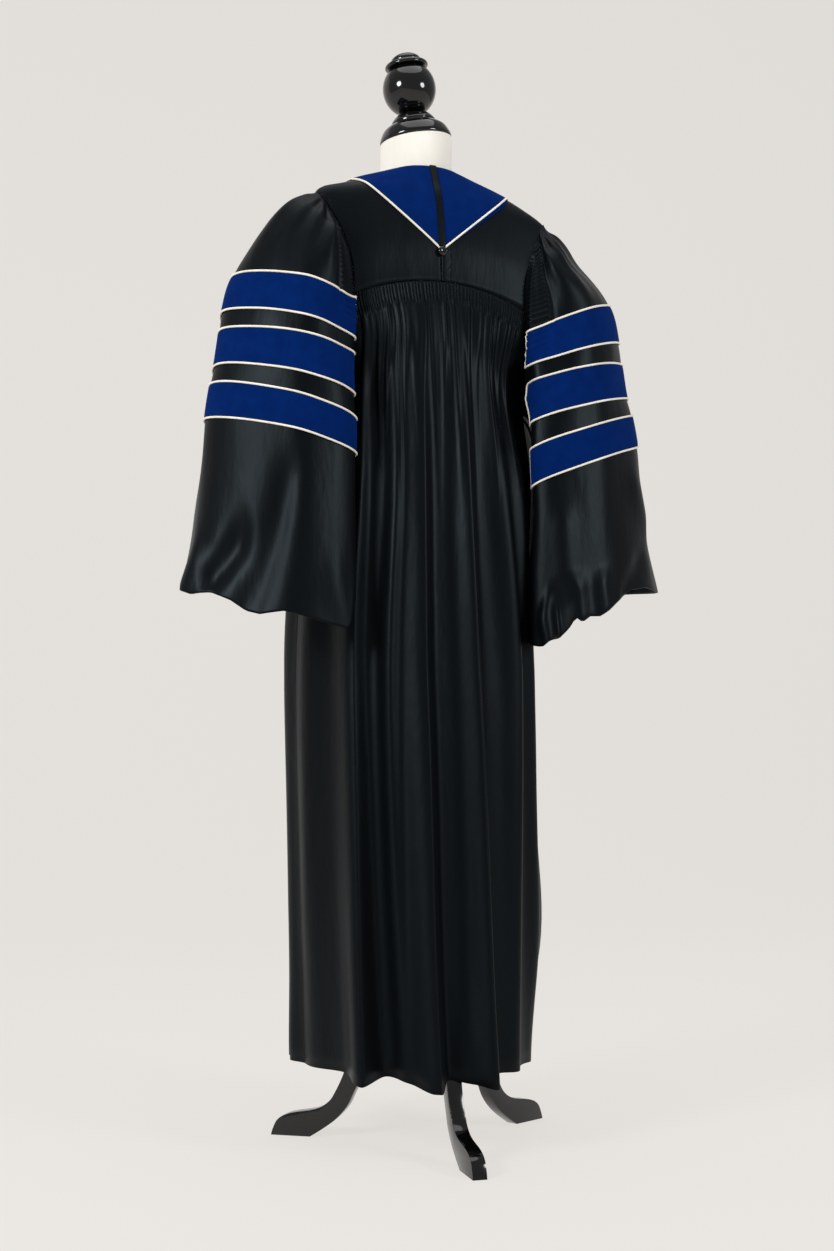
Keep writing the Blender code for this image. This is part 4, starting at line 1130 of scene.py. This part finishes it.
SLEEVE_LEVELS = np.concatenate([
    np.linspace(0, 4.2, 171), np.linspace(4.25, 9, 48), np.linspace(9.07, CUFF_ROW, 62)])
SLEEVE_TURN = np.concatenate([
    np.linspace(0.0012, 0.06, 10), np.linspace(0.065, 0.5, 78), np.linspace(0.51, 0.93, 56),
    np.linspace(0.94, 0.9988, 8)])
sleeves = {}
for label in SIDES:
    surface, outward = sleeve_on(label)
    sleeves[label] = cloth_piece(
        f"bell_sleeve_{label}", len(SLEEVE_TURN) - 1, len(SLEEVE_LEVELS) - 1,
        lambda column, row: (spaced(SLEEVE_TURN, column), spaced(SLEEVE_LEVELS, row)),
        surface, outward, black_cloth, size=(0.9, 0.55))
    keep(sleeves[label], "black_cloth", f"sleeve_{label}")
    print("sleeve", label, tuple(round(size, 3) for size in sleeves[label].dimensions))

# %% [markdown]
# ## Three velvet bars on each sleeve
#
# The bars are strips of velvet sewn round the sleeve, with piping round all four edges. They are
# laid on the same sleeve surface, a pile's thickness up. The piping follows the bar's outline, and
# turns its corners in a small curve, as a cord does. Each bar has its first row, its last row and
# the place u where it starts; it ends as far from the seam in front.

# %% Bars and their piping
BARS = {"upper": (3, 4, 0.056), "middle": (5, 7, 0.105), "lower": (8, 9, 0.115)}
BAR_LIFT, BAR_SIDE_STEPS, BAR_END_STEPS = 0.0022, 150, 8
CORNER_U, CORNER_ROW, CORNER_STEPS = 0.010, 0.16, 6
bars = {}


def rounded_outline(low, high, first, last):
    """A bar's outline as u and row, with its corners rounded."""
    turn = np.linspace(0, math.pi / 2, CORNER_STEPS)
    soon, late = 1 - np.sin(turn), 1 - np.cos(turn)
    across = np.linspace(low + CORNER_U, high - CORNER_U, BAR_SIDE_STEPS)
    down = np.linspace(first + CORNER_ROW, last - CORNER_ROW, BAR_END_STEPS)
    outline = np.concatenate([
        np.c_[across, np.full(BAR_SIDE_STEPS, first)],
        np.c_[high - CORNER_U * soon, first + CORNER_ROW * late],
        np.c_[np.full(BAR_END_STEPS, high), down],
        np.c_[high - CORNER_U * late, last - CORNER_ROW * soon],
        np.c_[across[::-1], np.full(BAR_SIDE_STEPS, last)],
        np.c_[low + CORNER_U * soon, last - CORNER_ROW * late],
        np.c_[np.full(BAR_END_STEPS, low), down[::-1]],
        np.c_[low + CORNER_U * late, first + CORNER_ROW * soon],
    ])
    apart = np.r_[True, np.abs(np.diff(outline, axis=0)).sum(1) > 1e-9]
    return outline[apart].T


for label in SIDES:
    surface, outward = sleeve_on(label)
    for name, (first, last, low) in BARS.items():
        made = cloth_piece(
            f"velvet_bar_{name}_{label}", 190, 26,
            lambda column, row, low=low, first=first, last=last: (
                low + (1 - 2 * low) * column, first + (last - first) * row),
            surface, outward, blue_velvet, lift=BAR_LIFT, wall=VELVET_WALL, size=(0.5, 0.05),
            depth=lambda column, row, u, level: soft_edge(row, 0.06) + soft_edge(column, 0.01))
        bars[name, label] = keep(made, "blue_velvet", f"bar_{name}_{label}")
        u, row = rounded_outline(low, 1 - low, first, last)
        points = surface(u, row) + outward(u, row) * (PIPING_RADIUS + 0.0004)
        piping = tube(f"bar_piping_{name}_{label}", points, PIPING_RADIUS, cream_cord, closed=True)
        keep(piping, "cream_cord", f"piping_bar_{name}_{label}")
print(len(bars), "velvet bars")

# %% [markdown]
# ## Strap and button
#
# A narrow folded strap runs down over the velvet to a small dark button at the point. The strap is
# a strip on the body's surface, the button a turned disc with a rim and a dished face.

# %% Strap
STRAP_WIDTH = 0.0105
STRAP_FOOT = POINT_LINE[1, 0] + 0.10


def strap_place(column, row):
    """Places in a narrow strip from just above the point up to the neckline."""
    level = STRAP_FOOT + (NECK - STRAP_FOOT) * row
    x = STRAP_WIDTH / 2 * (2 * column - 1)
    return np.where(x < 0, -1, 1) * angle_at(np.abs(x), level), level


strap = cloth_piece(
    "neck_strap", 10, 60, strap_place, body, body_out, black_cloth,
    lift=VELVET_LIFT + CLOTH_WALL + 0.0002, size=(STRAP_WIDTH, 0.13),
    depth=lambda column, row, angle, level: -0.0006 * np.abs(2 * column - 1) ** 6)
keep(strap, "black_cloth", "strap")
print("the strap is", strap.dimensions.z, "m high")

# %% [markdown]
# Buttons, caps and poles are turned on a lathe. The spin operator does the same in Blender: it
# sweeps half an outline round an axis, and a merge closes the last step onto the first.

# %% Turned pieces, from a profile of radius and height
TURNED_STEPS, ROUND_EACH = 96, 5


def turned(name, profile, finish, where, steps=TURNED_STEPS):
    """A profile spun round its axis, then moved to its place."""
    bm = bmesh.new()
    verts = [bm.verts.new((radius, 0, height)) for radius, height in profile]
    edges = [bm.edges.new(pair) for pair in zip(verts, verts[1:])]
    bmesh.ops.spin(bm, geom=verts + edges, cent=(0, 0, 0), axis=(0, 0, 1), angle=2 * math.pi,
                   steps=steps, use_merge=True)
    bmesh.ops.remove_doubles(bm, verts=bm.verts[:], dist=1e-6)
    return hard_piece(bm, name, finish, sharp=50, where=where)


def finer(table, each):
    """Every column of a table, read in smaller steps on the smooth curve through its rows."""
    table = np.array(table)
    place = np.linspace(0, len(table) - 1, (len(table) - 1) * each + 1)
    return np.stack([along(column, place) for column in table.T], -1)


def rounded(profile):
    """More points along a profile, so that its curves are smooth when turned."""
    return np.maximum(finer(profile, ROUND_EACH), (0, -np.inf))


BUTTON_PROFILE = ((0.0, -0.0018), (0.0058, -0.0018), (0.0066, -0.0008), (0.0066, 0.0006),
                  (0.0060, 0.0015), (0.0050, 0.0018), (0.0044, 0.0012), (0.0, 0.0010))
BUTTON_STEPS, BUTTON_LIFT = 40, 0.0062
button_level = np.array([POINT_LINE[1, 0] - 0.02])
button_out = Vector(body_out(np.array([0.0]), button_level)[0])
button_base = Vector(body(np.array([0.0]), button_level)[0]) + button_out * BUTTON_LIFT
button_turn = button_out.to_track_quat("Z", "Y").to_matrix().to_4x4()
button = turned("neck_button", BUTTON_PROFILE, black_lacquer,
                Matrix.Translation(button_base) @ button_turn, BUTTON_STEPS)
keep(button, "black_lacquer", "button")
print("the button lies at", tuple(button_base))

# %% [markdown]
# ## The dress form
#
# The torso is a soft, plain, limbless body, lofted through a few ovals. Each has its height, half
# its width, half its depth and the place of its middle. The form stays clear of the gown all
# round, and the top of its neck is cut on a slant, so the turned cap leans a little to the left.

# %% Torso and neck
FORM_SECTIONS = (
    (0.660, 0.110, 0.076, -0.030), (0.672, 0.122, 0.086, -0.032), (0.740, 0.140, 0.098, -0.040),
    (0.820, 0.142, 0.098, -0.045), (0.950, 0.112, 0.080, -0.048), (1.080, 0.136, 0.092, -0.050),
    (1.160, 0.142, 0.090, -0.048), (1.220, 0.146, 0.076, -0.042), (1.270, 0.150, 0.060, -0.032),
    (1.308, 0.146, 0.046, -0.024), (1.332, 0.118, 0.042, -0.028), (1.352, 0.084, 0.044, -0.038),
    (1.374, 0.062, 0.049, -0.050), (1.400, 0.0535, 0.0525, -0.057), (1.462, 0.0525, 0.0525, -0.057),
)
LEAN, RIM_HEIGHT, NECK_FOOT = math.radians(7.8), 1.462, 1.400
FORM_STEPS, FORM_EACH = 96, 4
bm = bmesh.new()
loops = []
for height, half_width, half_depth, middle in finer(FORM_SECTIONS, FORM_EACH):
    ring = bmesh.ops.create_circle(bm, cap_ends=False, segments=FORM_STEPS, radius=1.0)["verts"]
    for vert in ring:
        x = half_width * vert.co.x
        drop = x * math.tan(LEAN) * float(smooth(NECK_FOOT, RIM_HEIGHT, height))
        vert.co = (x, middle + half_depth * vert.co.y, height - drop)
    loops.append(list({edge for vert in ring for edge in vert.link_edges}))
for lower, upper in zip(loops, loops[1:]):
    bmesh.ops.bridge_loops(bm, edges=lower + upper)
for end in (loops[0], loops[-1]):
    bmesh.ops.contextual_create(bm, geom=end)
form = hard_piece(bm, "dress_form_body", cream_linen, sharp=55)
keep(form, "cream_linen", "form_torso")
print("the form is", form.dimensions.z, "m high")

# %% [markdown]
# ## Cap, ball and knob
#
# These are turned on a lathe, so each is a profile spun round its axis: a domed cap with a rim and
# a collar, a ball, and a small knob with a ring under it.

# %% Turned finial
CAP_PROFILE = (
    (0.0, 0.0003), (0.0515, 0.0003), (0.0530, 0.003), (0.0520, 0.008), (0.0465, 0.018),
    (0.0380, 0.0245), (0.0330, 0.0265), (0.0325, 0.030), (0.0280, 0.036), (0.0240, 0.0392),
    (0.0, 0.0392),
)
KNOB_PROFILE = (
    (0.0, 0.1080), (0.0265, 0.1080), (0.0310, 0.1090), (0.0315, 0.1120), (0.0290, 0.1150),
    (0.0225, 0.1165), (0.0220, 0.1190), (0.0205, 0.1225), (0.0150, 0.1265), (0.0070, 0.1290),
    (0.0, 0.1295),
)
BALL_RADIUS, BALL_MIDDLE, BALL_FLAT, BALL_STEPS = 0.0392, 0.0775, math.radians(14), 46
NECK_MIDDLE = FORM_SECTIONS[-1][3]
finial_at = Matrix.Translation((0.0, NECK_MIDDLE, RIM_HEIGHT)) @ Matrix.Rotation(LEAN, 4, "Y")
cap_line = np.r_[[CAP_PROFILE[0]], rounded(CAP_PROFILE[1:-1]), [CAP_PROFILE[-1]]]
knob_line = np.r_[[KNOB_PROFILE[0]], rounded(KNOB_PROFILE[1:])]
ball_turn = np.linspace(BALL_FLAT, math.pi - BALL_FLAT, BALL_STEPS)
ball_line = np.c_[BALL_RADIUS * np.sin(ball_turn), BALL_MIDDLE - BALL_RADIUS * np.cos(ball_turn)]
ball_line = np.r_[[(0.0, ball_line[0, 1])], ball_line, [(0.0, ball_line[-1, 1])]]
for name, line, node in (("turned_cap", cap_line, "cap"), ("turned_ball", ball_line, "ball"),
                         ("turned_knob", knob_line, "knob")):
    keep(turned(name, line.tolist(), black_lacquer, finial_at), "black_lacquer", node)
print("the finial is turned in", TURNED_STEPS, "steps")

# %% [markdown]
# ## Pole, hub and tripod
#
# The pole is a plain rod. The hub is a turned block that takes three legs. Each leg is sawn from a
# plank in an S curve: an outline filled and extruded, its edges eased with a bevel. The outline is
# the distance from the pole and the height, along the top to the foot's tip and back underneath.

# %% Pole and hub
POLE_RADIUS, HUB_RADIUS, HUB_BOTTOM, HUB_TOP, FORM_BOTTOM = 0.0125, 0.026, 0.186, 0.250, 0.66
POLE_GAP, STAND_STEPS = 0.0004, 64
HUB_EASE = ((0.005, 0), (0.0012, 0.002), (0, 0.006))
pole_line = ((0, HUB_TOP + POLE_GAP), (POLE_RADIUS, HUB_TOP + POLE_GAP),
             (POLE_RADIUS, FORM_BOTTOM - POLE_GAP), (0, FORM_BOTTOM - POLE_GAP))
hub_foot = [(HUB_RADIUS - inward, HUB_BOTTOM + rise) for inward, rise in HUB_EASE]
hub_head = [(HUB_RADIUS - inward, HUB_TOP - rise) for inward, rise in reversed(HUB_EASE)]
hub_line = [(0, HUB_BOTTOM), *hub_foot, *hub_head, (0, HUB_TOP)]
for node, line in (("pole", pole_line), ("hub", hub_line)):
    made = turned(f"stand_{node}", line, black_lacquer, Matrix.Identity(4), STAND_STEPS)
    keep(made, "black_lacquer", node)
print("the pole is", FORM_BOTTOM - HUB_TOP, "m long")

# %% [markdown]
# The three legs are one outline at three headings, a third of a turn apart. The edges along the
# outline are bevelled, as a router eases them, and the feet stay flat on the floor.

# %% Sawn legs
LEG_HEADINGS = {"back": 5.2, "left": 125.2, "right": -114.8}
LEG_THICK, LEG_EASE = 0.020, 0.0022
LEG_EACH, LEG_BEVEL_STEPS, BEVEL_FROM = 4, 3, 0.03
LEG_TOP = (
    (0.0263, 0.242), (0.060, 0.232), (0.088, 0.208), (0.108, 0.170), (0.119, 0.130),
    (0.126, 0.100), (0.132, 0.084), (0.140, 0.068), (0.150, 0.053), (0.170, 0.041),
    (0.210, 0.033), (0.228, 0.024), (0.236, 0.010), (0.239, 0.0),
)
LEG_UNDER = (
    (0.179, 0.0), (0.160, 0.012), (0.140, 0.027), (0.123, 0.046), (0.113, 0.066), (0.104, 0.085),
    (0.098, 0.102), (0.091, 0.130), (0.080, 0.158), (0.058, 0.181), (0.0263, 0.194),
)
leg_line = np.concatenate([finer(LEG_TOP, LEG_EACH), finer(LEG_UNDER, LEG_EACH)])
leg_line[:, 1] = np.maximum(leg_line[:, 1], 0.0)
for label, heading in LEG_HEADINGS.items():
    bm = bmesh.new()
    side = bm.faces.new([bm.verts.new((distance, -LEG_THICK / 2, height))
                         for distance, height in leg_line])
    moved = bmesh.ops.extrude_face_region(bm, geom=[side], use_keep_orig=True)["geom"]
    bmesh.ops.translate(bm, vec=(0, LEG_THICK, 0),
                        verts=[item for item in moved if isinstance(item, bmesh.types.BMVert)])
    bmesh.ops.recalc_face_normals(bm, faces=bm.faces[:])
    rims = [edge for edge in bm.edges
            if abs(edge.verts[0].co.y - edge.verts[1].co.y) < 1e-6
            and min(vert.co.x for vert in edge.verts) > BEVEL_FROM
            and max(vert.co.z for vert in edge.verts) > 0.001]
    bmesh.ops.bevel(bm, geom=rims, offset=LEG_EASE, offset_type="OFFSET", segments=LEG_BEVEL_STEPS,
                    profile=0.5, affect="EDGES", material=-1, clamp_overlap=True)
    turn = Matrix.Rotation(math.radians(90 - heading), 4, "Z")
    leg = hard_piece(bm, f"sawn_leg_{label}", black_lacquer, sharp=40, where=turn)
    keep(leg, "black_lacquer", f"leg_{label}")
print("legs reach", float(leg_line[:, 0].max()), "m out")

# %% [markdown]
# ## What each piece was cut from
#
# A reader of the file can't see how large a hung piece was on the cutting table, so each sheet of
# cloth states its flat width and length.

# %% Flat sizes of the cloth
def true_area(piece):
    """Half the area of a walled piece, which is the area of its cloth."""
    graph = bpy.context.evaluated_depsgraph_get()
    mesh = piece.evaluated_get(graph).to_mesh()
    area = sum(face.area for face in mesh.polygons) / 2
    piece.evaluated_get(graph).to_mesh_clear()
    return area


def cut(piece, flat, area=None):
    """States a sheet's flat size, and its area where the cut isn't a rectangle."""
    cut_area = area or flat[0] * flat[1]
    print(piece.name, "cloth", round(true_area(piece), 4), "m2, cut", round(cut_area, 4))


cut(back_panel, (0.62, 1.16))
for piece in (yoke_left, yoke_right):
    cut(piece, (0.19, 0.20), 0.026)
for piece in (front_left, front_right):
    cut(piece, (0.36, 1.36), 0.36)
for piece in sleeves.values():
    cut(piece, (0.80, 0.62), 0.36)
cut(velvet_neck, (0.29, 0.16), 0.024)
cut(facings["left"], (0.115, 1.40))
cut(facings["right"], (0.115, 1.40))
for (name, label), piece in bars.items():
    cut(piece, (0.50, 0.055))
cut(strap, (STRAP_WIDTH, 0.135))

# %% [markdown]
# ## Floor, light and camera
#
# A plain pale floor sweeps up into a backdrop, so there is no horizon. It glows a little, as paper
# lit on its own does. Soft round lights on both sides and above draw the folds; the camera stands
# behind and to the wearer's left, at the height of the knees.

# %% Floor and backdrop
backdrop, tree, shader = material("pale backdrop", (0.13, 0.127, 0.122), 0.9,
                                  Specular_IOR_Level=0.1, Emission_Strength=1.0)
shader.inputs["Emission Color"].default_value = (0.675, 0.650, 0.620, 1)
SWEEP_AT, SWEEP_RADIUS, FLOOR_NEAR, FLOOR_HALF_LENGTH, FLOOR_HALF_WIDTH = -2.2, 1.6, 4.5, 6.5, 7
bm = bmesh.new()
bmesh.ops.create_grid(bm, x_segments=2, y_segments=60, size=1.0)
for vert in bm.verts:
    reach = FLOOR_NEAR - (vert.co.y + 1) * FLOOR_HALF_LENGTH
    beyond = max(SWEEP_AT - reach, 0.0)
    turn = min(beyond / SWEEP_RADIUS, math.pi / 2)
    wall_height = max(beyond - SWEEP_RADIUS * math.pi / 2, 0.0)
    vert.co = (vert.co.x * FLOOR_HALF_WIDTH, max(reach, SWEEP_AT) - SWEEP_RADIUS * math.sin(turn),
               SWEEP_RADIUS * (1 - math.cos(turn)) + wall_height)
floor = hard_piece(bm, "studio_floor", backdrop)
print("the floor turns up", -SWEEP_AT, "m in front of the gown")

# %% [markdown]
# A camera looks straight ahead here, and the frame is shifted upward instead of tilting the
# camera, so that the upright lines of the stand stay upright.

# %% Camera at the height of the knees
VIEW_TURN, VIEW_DISTANCE, VIEW_HEIGHT = math.radians(21.2), 2.5, 0.55
camera = bpy.data.objects.new("camera", bpy.data.cameras.new("camera"))
camera.data.lens, camera.data.sensor_width = 49.8, 36
camera.data.shift_x, camera.data.shift_y = -0.0104, 0.1083
camera.location = (VIEW_DISTANCE * math.sin(VIEW_TURN), VIEW_DISTANCE * math.cos(VIEW_TURN),
                   VIEW_HEIGHT)
camera.rotation_euler = (math.pi / 2, 0, math.pi - VIEW_TURN)
bpy.context.scene.collection.objects.link(camera)
bpy.context.scene.camera = camera

# %% [markdown]
# Black cloth shows its folds only by what it mirrors, so the lights are large: each one draws a
# broad highlight down the hills and leaves the valleys dark. A pale world fills in the rest.


# %% Soft lights
CHEST = Vector((0, 0, 0.9))


def area_light(name, across, away, height, size, power):
    """A round light so far to the camera's right and so far towards it, aimed at the chest."""
    light = bpy.data.lights.new(name, "AREA")
    light.energy = power
    light.shape = "DISK"
    light.size = size
    lamp = bpy.data.objects.new(name, light)
    right = Vector((-math.cos(VIEW_TURN), math.sin(VIEW_TURN), 0))
    back = Vector((math.sin(VIEW_TURN), math.cos(VIEW_TURN), 0))
    lamp.location = right * across + back * away + Vector((0, 0, height))
    lamp.rotation_euler = (CHEST - lamp.location).to_track_quat("-Z", "Y").to_euler()
    bpy.context.scene.collection.objects.link(lamp)


area_light("key", -2.0, 2.0, 1.9, 0.9, 60)
area_light("fill", 2.4, 1.5, 1.8, 0.9, 36)
area_light("top", 0.0, 0.2, 3.4, 2.4, 24)
world = bpy.data.worlds.new("studio")
bpy.context.scene.world = world
world.use_nodes = True
background = world.node_tree.nodes["Background"]
background.inputs["Color"].default_value = (0.93, 0.94, 0.96, 1)
background.inputs["Strength"].default_value = 0.36
bpy.context.scene.view_settings.view_transform = "Standard"
print("camera at", tuple(round(value, 3) for value in camera.location))
